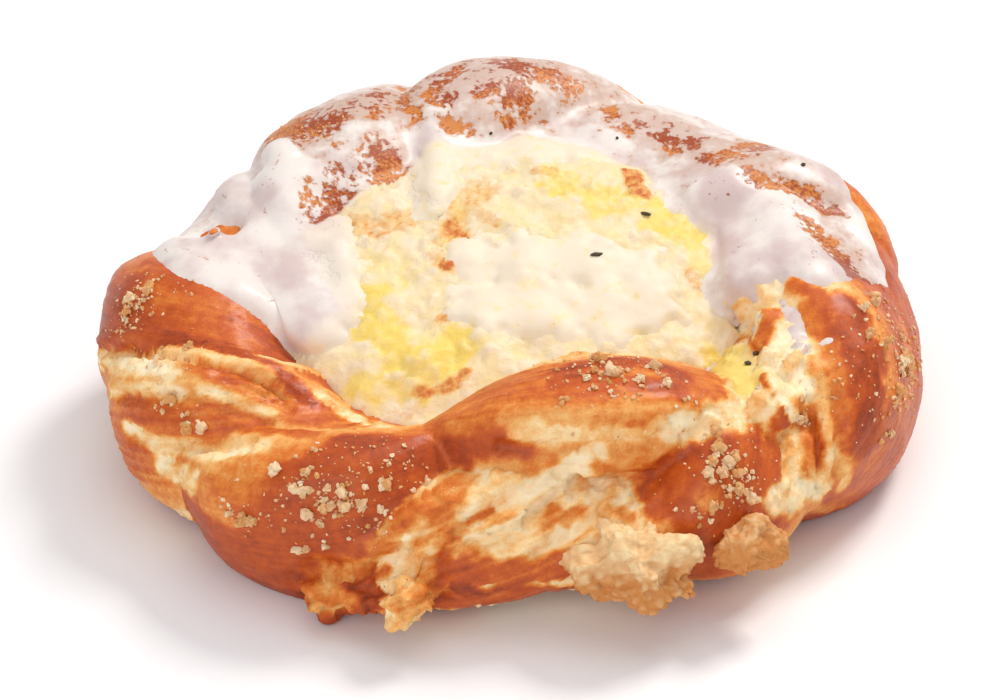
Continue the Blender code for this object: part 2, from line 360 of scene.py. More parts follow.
def relax(mesh: bpy.types.Mesh, values: np.ndarray, rounds: int, share: float = 0.6) -> np.ndarray:
    """Evens out values over a mesh, each point towards the mean of its neighbours.

    Args:
        mesh: the mesh that joins the points.
        values: one row for each point.
        rounds: how many times it is done.
        share: how far each point goes in one round.

    Returns:
        The evened values.
    """
    here, there = neighbours(mesh)
    count = np.bincount(here, minlength=len(values)) + np.bincount(there, minlength=len(values))
    rows = values.reshape(len(values), -1).copy()
    for _ in range(rounds):
        total = np.stack(
            [
                np.bincount(here, rows[there, k], len(rows)) + np.bincount(there, rows[here, k], len(rows))
                for k in range(rows.shape[1])
            ],
            axis=1,
        )
        rows += share * (total / np.maximum(count, 1)[:, None] - rows)
    return rows.reshape(values.shape)


def remeshed(name: str, points: np.ndarray, faces: Faces, voxel: float) -> bpy.types.Mesh:
    """Melts closed bodies that overlap into one skin of even faces.

    Args:
        name: the name of the mesh.
        points: the corners of all the bodies, one a row.
        faces: their faces, by corner number.
        voxel: the size of the new faces in metres.

    Returns:
        The largest skin, without sealed hollows.
    """
    piece = mesh_piece(name, points, faces)
    melt = piece.modifiers.new("melt", "REMESH")
    melt.mode = "VOXEL"
    melt.voxel_size = voxel
    mesh = bpy.data.meshes.new_from_object(piece.evaluated_get(bpy.context.evaluated_depsgraph_get()))
    bpy.data.objects.remove(piece)
    here, there = neighbours(mesh)
    label = np.arange(len(mesh.vertices))
    while True:
        low = np.minimum(label[here], label[there])
        before = label.copy()
        np.minimum.at(label, here, low)
        np.minimum.at(label, there, low)
        label = label[label]
        if np.array_equal(before, label):
            break
    body = np.bincount(label).argmax()
    shape = bmesh.new()
    shape.from_mesh(mesh)
    shape.verts.ensure_lookup_table()
    scraps = [shape.verts[i] for i in np.flatnonzero(label != body)]
    bmesh.ops.delete(shape, geom=scraps, context="VERTS")
    shape.to_mesh(mesh)
    shape.free()
    mesh.shade_smooth()
    return mesh


def faces_of(mesh: bpy.types.Mesh) -> Faces:
    """The faces of a mesh, by corner number."""
    return [tuple(face.vertices) for face in mesh.polygons]


def surface_of(mesh: bpy.types.Mesh) -> BVHTree:
    """A mesh's surface, for finding points on it."""
    return BVHTree.FromPolygons(corners(mesh)[0].tolist(), faces_of(mesh))


def drop(surfaces: list[BVHTree], x: float, y: float) -> list[Vector]:
    """Where a plumb line through a place meets each surface that lies under it."""
    hits = [surface.ray_cast(Vector((x, y, 2 * TALLEST)), Vector((0, 0, -1)))[0] for surface in surfaces]
    return [hit for hit in hits if hit is not None]


def dress(piece: bpy.types.Object, material: bpy.types.Material) -> None:
    """Gives a piece its finish and fixes it to the bun.

    Args:
        piece: the piece.
        material: its material.
    """
    piece.data.materials.clear()
    piece.data.materials.append(material)
    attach(piece, BODY)
    log.info("%s: %d faces", piece.name, len(piece.data.polygons))


@dataclass(frozen=True)
class Mark:
    """A mark that shows on the bun along a line.

    It has a name, a value, a reach to both sides in millimetres, and its line in pixels of the
    photograph, from its left and its top.
    """

    name: str
    value: float
    reach: float
    line: tuple[tuple[int, int], ...]


@dataclass(frozen=True)
class Stroke:
    """A mark laid onto the bun: its value, its reach and its line, in metres."""

    value: float
    reach: float
    line: np.ndarray

    def share(self, points: np.ndarray, ragged: np.ndarray, spread: float = 1.0) -> np.ndarray:
        """How far each point is inside the mark.

        Args:
            points: places in metres, one a row.
            ragged: noise that moves the mark's edge in and out.
            spread: how many times its reach the mark is drawn.

        Returns:
            1 along the line, easing to 0 at the mark's edge.
        """
        near = np.full(len(points), np.inf)
        for start, end in zip(self.line, self.line[1:]):
            way = end - start
            along = np.clip(((points - start) @ way) / max(way @ way, 1e-12), 0.0, 1.0)
            near = np.minimum(near, np.linalg.norm(points - start - along[:, None] * way, axis=1))
        return smooth(1.20, 0.50, near / (self.reach * spread) + 0.45 * ragged)


@dataclass(frozen=True)
class View:
    """The photograph's view of the bun, which the camera has and which the marks are laid on from."""

    width: int = 1000
    height: int = 700
    bun: tuple[float, float] = (505.0, 345.0)
    elevation: float = 35.0
    distance: float = 0.8
    aim: tuple[float, float, float] = (-0.9 * MM, 0.0, 16.0 * MM)
    lens: float = 191.5
    sensor: float = 36.0

    def back(self) -> Vector:
        """The direction from the bun to the camera."""
        lift = math.radians(self.elevation)
        return Vector((0.0, -math.cos(lift), math.sin(lift)))

    def eye(self) -> Vector:
        """Where the camera stands."""
        return Vector(self.aim) + self.back() * self.distance

    def spot(self, x: float, y: float, surfaces: list[BVHTree]) -> Vector:
        """The place on the bun that a pixel shows.

        Args:
            x: pixels from the picture's left.
            y: pixels from its top.
            surfaces: the surfaces that the pixel may show.

        Returns:
            The place; a pixel just past the bun's edge is moved in until it shows one.
        """
        right = Vector((1.0, 0.0, 0.0))
        up = self.back().cross(right)
        pitch = self.sensor / self.lens / self.width
        while True:
            aside = right * (x - self.width / 2) - up * (y - self.height / 2)
            hits = [surface.ray_cast(self.eye(), aside * pitch - self.back()) for surface in surfaces]
            found = [(far, place) for place, _, _, far in hits if place is not None]
            if found:
                return min(found)[1]
            x += 0.01 * (self.bun[0] - x)
            y += 0.01 * (self.bun[1] - y)

    def laid(self, marks: tuple[Mark, ...], surfaces: list[BVHTree]) -> list[Stroke]:
        """Lays marks onto the surfaces that they show on."""
        return [
            Stroke(
                mark.value, mark.reach * MM, np.array([self.spot(x, y, surfaces) for x, y in mark.line])
            )
            for mark in marks
        ]


VIEW = View()


def strongest(
    marks: list[Stroke], points: np.ndarray, ragged: np.ndarray, spread: float = 1.0
) -> np.ndarray:
    """The largest value of several marks at each point."""
    total = np.zeros(len(points))
    for mark in marks:
        total = np.maximum(total, mark.value * mark.share(points, ragged, spread))
    return total


# How brown the crust is, from 0, pale crumb, to 1, dark crust; a few marks are painted shade instead.
CRUST_MARKS = (
    Mark("left rope edge", 0.88, 1.5, (
        (96, 340), (168, 338), (197, 342), (244, 354), (285, 376), (312, 402),
    )),
    Mark("left rope dark", 0.84, 3.2, ((133, 282), (110, 325))),
    Mark("left rope band", 0.66, 3, ((168, 300), (212, 326), (250, 345))),
    Mark("left rope top", 0.72, 2.6, ((150, 262), (185, 285))),
    Mark("left rope cut", 0.06, 2, ((100, 360), (139, 362), (170, 372))),
    Mark("left rope cut 2", 0.1, 1.6, ((104, 392), (140, 388), (175, 392))),
    Mark("left crease streak", 0.6, 2.6, ((200, 365), (262, 392), (300, 415))),
    Mark("left crease cream", 0.22, 1.1, ((200, 388), (235, 400), (270, 412))),
    Mark("second strand dark", 0.72, 2.3, ((122, 404), (153, 416), (185, 424))),
    Mark("second strand mid", 0.66, 1.8, ((205, 412), (256, 426), (315, 434))),
    Mark("second strand low", 0.14, 1.7, ((128, 428), (160, 446), (212, 452), (260, 446))),
    Mark("second strand foot", 0.12, 2.4, ((165, 468), (190, 484))),
    Mark("second strand foot 2", 0.5, 1.6, ((206, 484), (228, 468))),
    Mark("front rope rim", 0.52, 1.9, ((240, 482), (268, 463), (303, 450), (332, 441))),
    Mark("front rope rim 2", 0.5, 2.4, ((205, 500), (235, 522))),
    Mark("front rope body", 0.79, 5.5, ((262, 530), (300, 505), (380, 478))),
    Mark("front rope low", 0.8, 3.6, ((290, 556), (345, 555))),
    Mark("front rope top", 0.86, 3.2, ((345, 446), (403, 452), (461, 450))),
    Mark("front rope end", 0.74, 2.4, ((480, 446), (520, 446))),
    Mark("front rope gold", 0.48, 2.2, ((375, 548), (400, 522), (430, 500), (465, 480))),
    Mark("front rope gold 2", 0.4, 1.4, ((345, 572), (372, 560))),
    Mark("torn middle 1", 0.42, 3.2, ((450, 505), (420, 540))),
    Mark("torn middle 2", 0.06, 2.8, ((515, 497), (557, 479), (590, 462))),
    Mark("torn middle 3", 0.32, 2, ((470, 530), (500, 512))),
    Mark("torn middle 4", 0.16, 2.2, ((545, 555), (600, 530))),
    Mark("torn middle orange", 0.52, 1.3, ((596, 466), (612, 470))),
    Mark("torn middle orange 2", 0.5, 1.2, ((558, 508), (545, 526))),
    Mark("torn middle orange 3", 0.46, 1.3, ((610, 505), (630, 515))),
    Mark("torn middle gold", 0.46, 2, ((470, 572), (520, 570))),
    Mark("foot left", 0.42, 5, ((324, 592), (330, 604))),
    Mark("foot right", 0.36, 5, ((403, 601), (426, 575))),
    Mark("front crest top", 0.86, 2, ((560, 372), (605, 362), (650, 362), (681, 376))),
    Mark("front crest mid", 0.66, 2.2, ((520, 395), (569, 392), (640, 396))),
    Mark("front crest face", 0.44, 2.2, ((500, 415), (560, 414), (620, 412), (680, 404))),
    Mark("front crest low", 0.22, 2.2, ((520, 436), (580, 436), (640, 436), (690, 420))),
    Mark("front crest left", 0.56, 2, ((455, 425), (490, 415))),
    Mark("right front rope body", 0.76, 4, ((664, 480), (700, 470), (735, 470))),
    Mark("right front rope top", 0.84, 2.6, ((690, 445), (720, 440))),
    Mark("right front rope right", 0.7, 2.2, ((770, 440), (768, 480), (755, 505))),
    Mark("right front rope low", 0.78, 2, ((655, 505), (690, 518), (725, 520))),
    Mark("right front rope foot", 0.8, 1.6, ((690, 532), (730, 530))),
    Mark("right front rope over", 0.16, 2.8, ((681, 430), (720, 418), (760, 410))),
    Mark("rubble side pale", 0.14, 4, ((775, 372), (790, 385))),
    Mark("rubble side pale 2", 0.14, 3.4, ((742, 398), (760, 412))),
    Mark("rubble side orange", 0.56, 1.4, ((798, 402), (812, 408))),
    Mark("slit", 0.8, 1.1, ((813, 420), (818, 440), (822, 466))),
    Mark("slit orange", 0.55, 2, ((803, 415), (808, 460))),
    Mark("torn right 1", 0.16, 2.4, ((788, 440), (795, 480))),
    Mark("torn right 2", 0.06, 2.6, ((776, 500), (820, 492))),
    Mark("torn right 3", 0.26, 1.8, ((836, 430), (843, 485))),
    Mark("torn right 4", 0.46, 1.8, ((806, 509), (835, 510))),
    Mark("right rope inner", 0.36, 2, ((818, 362), (830, 400), (838, 440))),
    Mark("right rope mid", 0.6, 2.6, ((812, 310), (835, 345), (845, 390), (852, 440))),
    Mark("right rope band", 0.86, 4, ((845, 312), (868, 350), (872, 400), (866, 440))),
    Mark("right rope low", 0.64, 3, ((880, 455), (862, 482), (838, 500))),
    Mark("right rope far", 0.6, 2.4, ((902, 330), (912, 372), (903, 410))),
    Mark("right rope orange", 0.62, 1.8, ((774, 313), (760, 342))),
    Mark("right rope orange 2", 0.7, 1.8, ((792, 286), (822, 298))),
    Mark("right rope peach", 0.24, 2.2, ((739, 303), (764, 303))),
    Mark("right rope streak", 0.68, 1.3, ((817, 238), (835, 257), (856, 276), (872, 290))),
    Mark("back left crust", 0.86, 2.6, ((283, 128), (300, 130), (322, 128))),
    Mark("back left orange", 0.62, 1.8, ((384, 165), (389, 181), (395, 190))),
    Mark("back left orange 2", 0.58, 2.2, ((340, 215), (365, 222), (390, 222))),
    Mark("back left orange 3", 0.56, 1.8, ((413, 207), (425, 200))),
    Mark("back crest top", 0.5, 1.6, ((495, 64), (533, 71), (562, 84))),
    Mark("back crest spot", 0.66, 1.7, ((518, 97), (507, 113))),
    Mark("back crest edge", 0.72, 1.4, ((444, 79), (455, 70))),
    Mark("back crest spot 2", 0.6, 1.3, ((455, 126), (462, 130))),
    Mark("back left line", 0.52, 1, ((404, 92), (418, 118), (424, 130))),
    Mark("back right 1", 0.56, 1.2, ((607, 110), (611, 118))),
    Mark("back right 2", 0.54, 1, ((625, 128), (628, 133))),
    Mark("back right 3", 0.7, 1.2, ((668, 138), (673, 148))),
    Mark("back right 4", 0.66, 0.9, ((690, 142), (694, 150))),
    Mark("back right 5", 0.64, 1.9, ((718, 158), (738, 154), (755, 148))),
    Mark("back right 6", 0.64, 1.4, ((750, 178), (775, 184), (804, 192))),
    Mark("back right 7", 0.56, 1.6, ((815, 204), (824, 210))),
    Mark("left tip", 0.56, 2.4, ((210, 234), (230, 232))),
    Mark("torn middle left", 0.52, 3, ((440, 520), (468, 548))),
    # Browned low edge of the torn strand, darkened further as painted shade.
    Mark("torn middle low brown and shade", 0.74, 3.2, ((452, 572), (500, 575), (560, 569))),
    Mark("torn middle mid", 0.2, 2.2, ((482, 537), (540, 545))),
    Mark("torn middle right", 0.04, 2.6, ((578, 502), (612, 492))),
    # Painted shade: the next two marks darken hollows of the torn strand.
    Mark("torn middle hollow shade 1", 0.66, 0.8, ((470, 522), (492, 512), (512, 501))),
    Mark("torn middle hollow shade 2", 0.6, 0.8, ((352, 577), (386, 570))),
    Mark("gap yellow", 0.05, 3.4, ((735, 348), (748, 372), (744, 398))),
    Mark("front rope up", 0.78, 3, ((278, 480), (332, 458))),
    Mark("front crest top 2", 0.8, 2.2, ((560, 380), (620, 380), (678, 390))),
    # Painted shadow where the front of the bun meets the table.
    Mark("torn middle underside shadow", 0.95, 1.7, ((455, 590), (500, 594), (545, 594), (585, 588))),
    Mark("torn middle light 1", 0.04, 1.6, ((505, 508), (535, 498), (560, 486))),
    Mark("torn middle light 2", 0.06, 1.4, ((560, 540), (590, 520))),
    Mark("torn middle orange 4", 0.5, 1.4, ((566, 520), (580, 512))),
    Mark("torn middle orange 5", 0.52, 1.2, ((440, 500), (462, 492))),
    Mark("torn middle orange 6", 0.48, 1.2, ((530, 470), (552, 462))),
    # Painted shadow along the bottom edge of the torn strand.
    Mark("torn middle foot shadow", 0.74, 2.2, ((440, 603), (480, 601), (520, 599), (556, 592))),
    Mark("inner rim peach", 0.14, 1.5, ((322, 396), (348, 412), (384, 425))),
)

# Folds, cracks and ledges of the crust: millimetres up, or down where less than nothing.
CRUST_RELIEF = (
    Mark("slit crack", -1.8, 0.9, ((813, 418), (818, 440), (822, 468))),
    Mark("slit crack 2", -0.8, 1.2, ((803, 400), (807, 425))),
    Mark("left rope crack", -1.3, 1.1, (
        (100, 353), (135, 351), (170, 354), (200, 360), (244, 372), (285, 392),
    )),
    Mark("left rope ledge", 0.7, 1.2, ((98, 341), (140, 336), (170, 337), (200, 341), (244, 353))),
    Mark("left crease crack", -0.9, 1.2, ((118, 396), (150, 398), (190, 396))),
    Mark("second strand crack", -0.9, 1.2, ((132, 436), (165, 442), (205, 446), (250, 440))),
    Mark("torn middle crack 1", -1.9, 1.6, ((468, 524), (492, 512), (515, 500))),
    Mark("torn middle crack 2", -1.3, 1.2, ((438, 562), (452, 545))),
    Mark("torn middle crack 3", -1.3, 1.3, ((540, 552), (570, 536), (602, 516))),
    Mark("torn middle crack 4", -1, 1.2, ((572, 490), (590, 478))),
    Mark("front rope crack", -1.4, 1.3, ((352, 576), (392, 556), (430, 532), (446, 512))),
    Mark("front crest crack", -1.2, 1.3, ((500, 448), (560, 450), (620, 448), (655, 442))),
    Mark("foot crack", -1.6, 1.6, ((352, 592), (384, 588))),
    Mark("right front rope crack", -0.4, 1.1, ((640, 500), (652, 482), (668, 460))),
    Mark("torn right crack", -1, 1.3, ((785, 435), (790, 470))),
    Mark("right rope crack", -1, 1.4, ((836, 400), (842, 440), (840, 470))),
    Mark("right rope ledge", 0.6, 1.6, ((800, 380), (806, 400))),
    Mark("left rope crack 2", -0.7, 0.9, ((215, 372), (250, 388), (290, 408))),
    Mark("left rope crack 3", -0.6, 0.9, ((230, 362), (270, 380), (300, 400))),
    Mark("second strand crack 2", -0.6, 0.9, ((200, 400), (250, 416), (300, 428))),
    Mark("torn middle crack 5", -1.5, 1.1, ((528, 522), (560, 500))),
    Mark("torn middle ledge 1", 0.9, 1.1, ((440, 548), (480, 528), (520, 512))),
    Mark("torn middle ledge 2", 0.8, 1.1, ((500, 558), (545, 537), (590, 514))),
    Mark("torn middle ledge 3", 0.8, 1, ((520, 500), (560, 482), (600, 470))),
    Mark("torn middle crack 6", -1.2, 1.1, ((455, 535), (490, 545), (520, 540))),
)

# Where yellow curd is smeared over the crumb of the dough.
CURD_SMEARS = (
    Mark("smear by the rubble", 1.0, 3.4, ((712, 352), (730, 366), (746, 388))),
)

# Where the curd is yellow with yolk.
YOLK_MARKS = (
    Mark("yolk at the left", 1, 5, ((372, 305), (390, 350), (425, 372), (455, 350))),
    Mark("yolk at the front left", 0.9, 3, ((360, 385), (410, 390))),
    Mark("yolk at the back right", 0.9, 4.4, ((560, 185), (600, 200), (650, 212), (690, 228))),
    Mark("yolk by the rubble", 1, 3.6, ((712, 365), (735, 374), (748, 356))),
    Mark("yolk at the right", 0.7, 2.4, ((695, 250), (716, 290))),
    Mark("yolk in the crook", 0.6, 2.4, ((456, 212), (450, 235))),
    Mark("yolk beside the lobe", 0.6, 3, ((375, 262), (395, 285))),
    Mark("yolk in the middle", 0.35, 6, ((500, 210), (560, 235), (640, 240))),
)

# Where the curd is toasted.
TOAST_MARKS = (
    Mark("toast at the back right", 1, 2, ((630, 175), (642, 192))),
    Mark("toast in the crook", 1, 1.5, ((450, 226), (461, 243), (446, 264))),
    Mark("toast at the left", 0.9, 1.2, ((440, 318), (448, 316))),
    Mark("toast at the front left", 0.9, 1.2, ((416, 393), (436, 390), (455, 383))),
    Mark("toast spot at the front", 0.8, 1.2, ((462, 376), (466, 370))),
    Mark("toast over the crook", 0.6, 1.3, ((480, 215), (495, 222))),
    Mark("toast at the back", 0.6, 1.4, ((540, 170), (552, 172))),
    Mark("toast pale at the front", 0.2, 3, ((345, 410), (400, 420), (455, 410))),
    Mark("toast column", 0.56, 3.0, ((482, 190), (462, 206), (452, 230), (447, 258))),
    Mark("toast under back left", 0.60, 2.6, ((338, 226), (375, 230), (408, 220), (430, 208))),
    Mark("toast right edge", 0.55, 1.4, ((690, 274), (702, 290))),
)

# Where the icing lies thick: millimetres on top of its usual skin.
ICING_THICK = (
    Mark("pool lobe", 2, 8, ((190, 262), (240, 285), (300, 312))),
    Mark("pool lobe back", 1.6, 8, ((290, 200), (268, 240), (290, 290))),
    Mark("pool lobe side", 1.2, 4.6, ((328, 235), (335, 330))),
    Mark("pool sheet middle", 0.62, 5.5, ((480, 262), (560, 262), (640, 275))),
    Mark("pool sheet front", 0.55, 5.5, ((480, 305), (560, 312), (650, 305))),
    Mark("pool right outer", 1.2, 5.5, ((780, 215), (812, 262), (835, 288))),
    Mark("pool right edge", 1, 4.6, ((866, 232), (893, 268))),
    Mark("pool right inner", 0.8, 5, ((715, 200), (760, 250))),
    Mark("pool back left", 0.5, 4.6, ((350, 140), (345, 190))),
    Mark("pool back crook", 0.5, 4.6, ((440, 150), (430, 200))),
    Mark("pool sheet back", 0.45, 5, ((460, 150), (530, 150), (600, 152))),
    Mark("pool sheet right", 0.5, 4.5, ((560, 300), (600, 330))),
    Mark("pool right fold", 0.8, 4.5, ((730, 190), (748, 240), (755, 280))),
    Mark("pool drip", 1.6, 2.6, ((276, 150), (284, 160))),
    Mark("pool bulge", 1.4, 3.2, ((237, 186), (242, 205))),
    Mark("pool column", 0.5, 2.6, ((436, 112), (440, 150), (436, 205))),
)

# Where icing ran down over the crust or dried in flakes on it, beyond its skin.
ICING_RUNS = (
    Mark("run under the lobe", 1, 4.2, ((188, 262), (226, 284), (276, 318), (322, 332))),
    Mark("run beside the lobe", 1, 4.2, ((240, 262), (290, 296), (326, 316))),
    Mark("flake by the rubble", 1, 1.4, ((793, 316), (797, 332), (802, 346))),
    Mark("flake on the right rope", 1, 0.7, ((822, 343), (834, 338))),
    Mark("flake at the right edge", 0.9, 0.8, ((865, 292), (872, 295))),
    Mark("flake over the rubble", 0.9, 0.8, ((782, 300), (786, 310))),
)

# Creases that thick icing fills: the reach is how far it fills them.
ICING_FILLS = (
    Mark("crease under the lobe", 1, 3.2, ((250, 238), (272, 268), (292, 300), (322, 332))),
    Mark("crease beside the lobe", 1, 2.6, ((236, 200), (258, 232), (280, 262))),
    Mark("crease at the right", 1, 3, ((770, 205), (792, 238), (806, 270))),
    Mark("crease at the back", 1, 2.2, ((437, 140), (440, 176), (436, 208))),
)

# Where the icing stops short and the crust lies open.
ICING_ENDS = (
    Mark("end on the right rope", 1, 3.6, ((765, 302), (792, 296), (822, 308), (852, 322))),
    Mark("end at the left tip", 1, 2.3, ((206, 235), (230, 231))),
    Mark("end inside the right rope", 1, 3, ((752, 312), (745, 335), (742, 350))),
    Mark("end by the rubble", 1, 2.6, ((704, 356), (722, 354), (732, 336))),
)

# Where the icing broke up and shows the crust through its gaps.
ICING_BARE = (
    Mark("gap back left edge", 1, 3, ((281, 128), (300, 132), (324, 126))),
    Mark("gap back left fold", 1, 3.0, ((380, 160), (392, 186))),
    Mark("gap back left foot", 1, 4.4, ((333, 212), (365, 222), (396, 226))),
    Mark("gap back left corner", 1, 2, ((405, 205), (430, 212))),
    Mark("gap back crest top", 1, 2.1, ((495, 62), (533, 72), (566, 85))),
    Mark("gap back crest spot", 1, 2.2, ((524, 92), (505, 112))),
    Mark("gap back crest edge", 1, 1.8, ((438, 84), (455, 72))),
    Mark("gap back crest spot 2", 1, 1.4, ((450, 125), (466, 130))),
    Mark("gap back left line", 1, 1, ((404, 92), (418, 118))),
    Mark("gap back crest dot", 0.9, 0.8, ((443, 97), (444, 100))),
    Mark("gap back right 1", 1, 1.3, ((607, 110), (611, 118))),
    Mark("gap back right 2", 1, 0.9, ((624, 128), (629, 132))),
    Mark("gap back right 3", 1, 1.4, ((668, 137), (674, 148))),
    Mark("gap back right 4", 1, 1, ((689, 141), (694, 149))),
    Mark("gap back right 5", 1, 2.1, ((716, 158), (738, 153), (757, 147))),
    Mark("gap back right 6", 1, 1.3, ((748, 177), (775, 184), (806, 195))),
    Mark("gap back right 7", 1, 1.8, ((813, 204), (826, 210))),
    Mark("gap right streak", 1, 2.3, ((816, 236), (835, 257), (856, 277), (874, 293))),
    Mark("gap back left side", 0.7, 1.6, ((340, 176), (352, 182))),
    Mark("gap back crest middle", 0.8, 1.2, ((478, 92), (500, 88))),
    Mark("gap back right 8", 0.7, 1.2, ((640, 128), (655, 134))),
    Mark("gap right fold", 0.8, 1.6, ((800, 226), (816, 238))),
    Mark("gap back crest left", 0.8, 1.5, ((432, 96), (446, 104))),
    Mark("gap back left corner 2", 0.75, 1.6, ((408, 196), (422, 206))),
    Mark("gap back left foot 2", 0.75, 1.3, ((352, 240), (372, 246))),
    Mark("gap lobe hollow", 0.9, 1.7, ((322, 262), (331, 284))),
    Mark("gap under back left", 0.9, 2.4, ((312, 196), (338, 214), (372, 226))),
)

# Where the icing is so thin that the crust mottles it.
ICING_WORN = (
    Mark("thin back left", 1, 5, ((300, 122), (350, 108), (405, 100))),
    Mark("thin back left fold", 0.55, 4, ((335, 165), (372, 140))),
    Mark("thin back left foot", 0.75, 4.2, ((325, 215), (375, 235), (425, 232))),
    Mark("thin back crest", 0.5, 4.2, ((440, 86), (482, 74), (530, 66), (566, 84))),
    Mark("thin back crest low", 0.4, 4, ((445, 118), (498, 110), (545, 98))),
    Mark("thin back right", 0.55, 4, ((600, 110), (650, 122), (700, 142), (765, 160))),
    Mark("thin back right end", 0.6, 3.6, ((770, 190), (822, 212))),
    Mark("thin lobe edge", 0.5, 2.4, ((318, 252), (330, 290))),
    Mark("thin right streak", 0.9, 3.6, ((815, 240), (850, 275), (880, 300))),
    Mark("thin right fold", 0.8, 3.6, ((790, 215), (812, 240))),
    Mark("thin back edge", 0.5, 4, ((470, 60), (540, 62), (600, 96))),
)


# Finishes


@dataclass(frozen=True)
class Finish:
    """A material of one shader.

    Each kind has a name, plain values for the shader's inputs, and a pattern that feeds the inputs
    which change from place to place.
    """

    name: str = "plain"
    values: ClassVar[dict[str, object]] = {}

    def pattern(self, tree: Tree, place: Source) -> dict[object, Source]:
        """What feeds the shader's inputs, by name: nothing, where the finish is even."""
        return {}

    def material(self) -> bpy.types.Material:
        """Builds the material.

        Returns:
            The finished material.
        """
        made = bpy.data.materials.new(self.name)
        made.use_nodes = True
        tree = made.node_tree
        shader = tree.nodes["Principled BSDF"]
        for key, value in self.values.items():
            shader.inputs[key].default_value = value
        place = add_node(tree, "TexCoord").outputs["Object"]
        feed(tree, shader, self.pattern(tree, place))
        return made


@dataclass(frozen=True)
class EggWashedCrust(Finish):
    """Yeast dough, egg-washed and oven-baked.

    The wash bakes to a thin glossy skin, from golden to deep red-brown, with a soft clear sheen. Where
    the dough tore or lay in a fold it stays a matt, pale crumb.
    """

    name: str = "egg_washed_crust"
    ramp: tuple[tuple[float, str], ...] = (
        (0.00, "#FCE9C4"),
        (0.16, "#F8D59E"),
        (0.34, "#EDAE64"),
        (0.52, "#DC7E32"),
        (0.68, "#C75C20"),
        (0.84, "#B14A1D"),
        (1.00, "#8A381B"),
    )
    curd: str = "#EED272"
    blotch: float = 6.0 * MM
    mottle: float = 1.5 * MM
    streak: float = 0.8 * MM
    streak_stretch: float = 0.12
    pore: float = 0.35 * MM
    values: ClassVar[dict[str, object]] = {
        "Coat Roughness": 0.26,
        "Specular IOR Level": 0.22,
        "IOR": 1.45,
        "Subsurface Weight": 0.12,
        "Subsurface Radius": (1.0, 0.55, 0.25),
        "Subsurface Scale": 1.2 * MM,
    }

    def pattern(self, tree: Tree, place: Source) -> dict[object, Source]:
        """Browns the crust in blotches, streaks and pores, and dulls it where it is torn.

        Args:
            tree: the material's node tree.
            place: the place on the piece.

        Returns:
            What feeds the shader, from the attributes bake, torn, smear and strand.
        """
        bake_and_shade, torn, smear = (
            add_node(tree, "Attribute", {"attribute_name": name}).outputs["Fac"]
            for name in ("bake_and_shade", "torn", "smear")
        )
        strand = add_node(tree, "Attribute", {"attribute_name": "strand"}).outputs["Vector"]
        stretch = {"operation": "MULTIPLY", 1: (self.streak_stretch, 1.0, 1.0)}
        pulled = add_node(tree, "VectorMath", stretch, {0: strand})
        blotches, mottles, streaks, pores = (
            add_node(tree, "TexNoise", {"Scale": 1 / size, "Detail": detail}, {"Vector": where})
            for size, detail, where in (
                (self.blotch, 4.0, place),
                (self.mottle, 4.0, place),
                (self.streak, 3.0, pulled),
                (self.pore, 3.0, place),
            )
        )
        uneven = ((blotches, 0.30), (mottles, 0.28), (streaks, 0.24), (pores, 0.22))
        middle = sum(weight for _, weight in uneven) / 2
        shade = mask(tree, ((bake_and_shade, 1.0), *uneven), (middle, 1 + middle))
        colour = add_node(tree, "ValToRGB", links={"Fac": shade})
        stops = colour.color_ramp.elements
        while len(stops) < len(self.ramp):
            stops.new(0.5)
        for stop, (where, code) in zip(stops, self.ramp):
            stop.position = where
            stop.color = srgb(code)
        dull = mask(tree, ((shade, 1.0),), (0.15, 0.60), (0.72, 0.44))
        return {
            "Base Color": layered(tree, colour, ((smear, self.curd),)),
            "Roughness": add_node(tree, "Math", {"operation": "MULTIPLY_ADD", 1: 0.3}, {0: torn, 2: dull}),
            "Coat Weight": mask(tree, ((shade, 1.0),), (0.30, 0.62), (0.0, 0.20)),
            "Normal": bumps(
                tree,
                ((pores, 0.35, 0.12 * MM), (streaks, 0.35, 0.25 * MM), (mottles, 0.30, 0.35 * MM)),
            ),
        }


@dataclass(frozen=True)
class CurdCheese(Finish):
    """Fresh curd cheese with egg yolk, baked until it just sets.

    It is matt, moist and softly see-through at its thin edges, from cream to egg yellow, with a few
    toasted spots.
    """

    name: str = "curd_cheese"
    cream: str = "#EDDABC"
    yellow: str = "#EED06A"
    golden: str = "#E3A656"
    scorched: str = "#C8662E"
    blotch: float = 3.5 * MM
    curd: float = 0.7 * MM
    scorch: float = 1.1 * MM
    values: ClassVar[dict[str, object]] = {
        "Roughness": 0.5,
        "IOR": 1.4,
        "Subsurface Weight": 0.2,
        "Subsurface Radius": (1.0, 0.8, 0.4),
        "Subsurface Scale": 1.2 * MM,
    }

    def pattern(self, tree: Tree, place: Source) -> dict[object, Source]:
        """Tints the curd with yolk and toasts it in spots.

        Args:
            tree: the material's node tree.
            place: the place on the piece.

        Returns:
            What feeds the shader, from the attributes yolk and toast.
        """
        blotches, grains, scorches = (
            add_node(tree, "TexNoise", {"Scale": 1 / size, "Detail": 5.0}, {"Vector": place})
            for size in (self.blotch, self.curd, self.scorch)
        )
        yolk, toast = (
            add_node(tree, "Attribute", {"attribute_name": name}).outputs["Fac"] for name in ("yolk", "toast")
        )
        layers = (
            (mask(tree, ((blotches, 0.9), (yolk, 1.0)), (0.55, 1.40)), self.yellow),
            (mask(tree, ((scorches, 1.4), (toast, 1.0)), (0.90, 1.60)), self.golden),
            (mask(tree, ((scorches, 1.8), (toast, 1.0)), (1.62, 2.10)), self.scorched),
        )
        return {
            "Base Color": layered(tree, self.cream, layers),
            "Normal": bumps(tree, ((grains, 0.5, 0.3 * MM),)),
        }


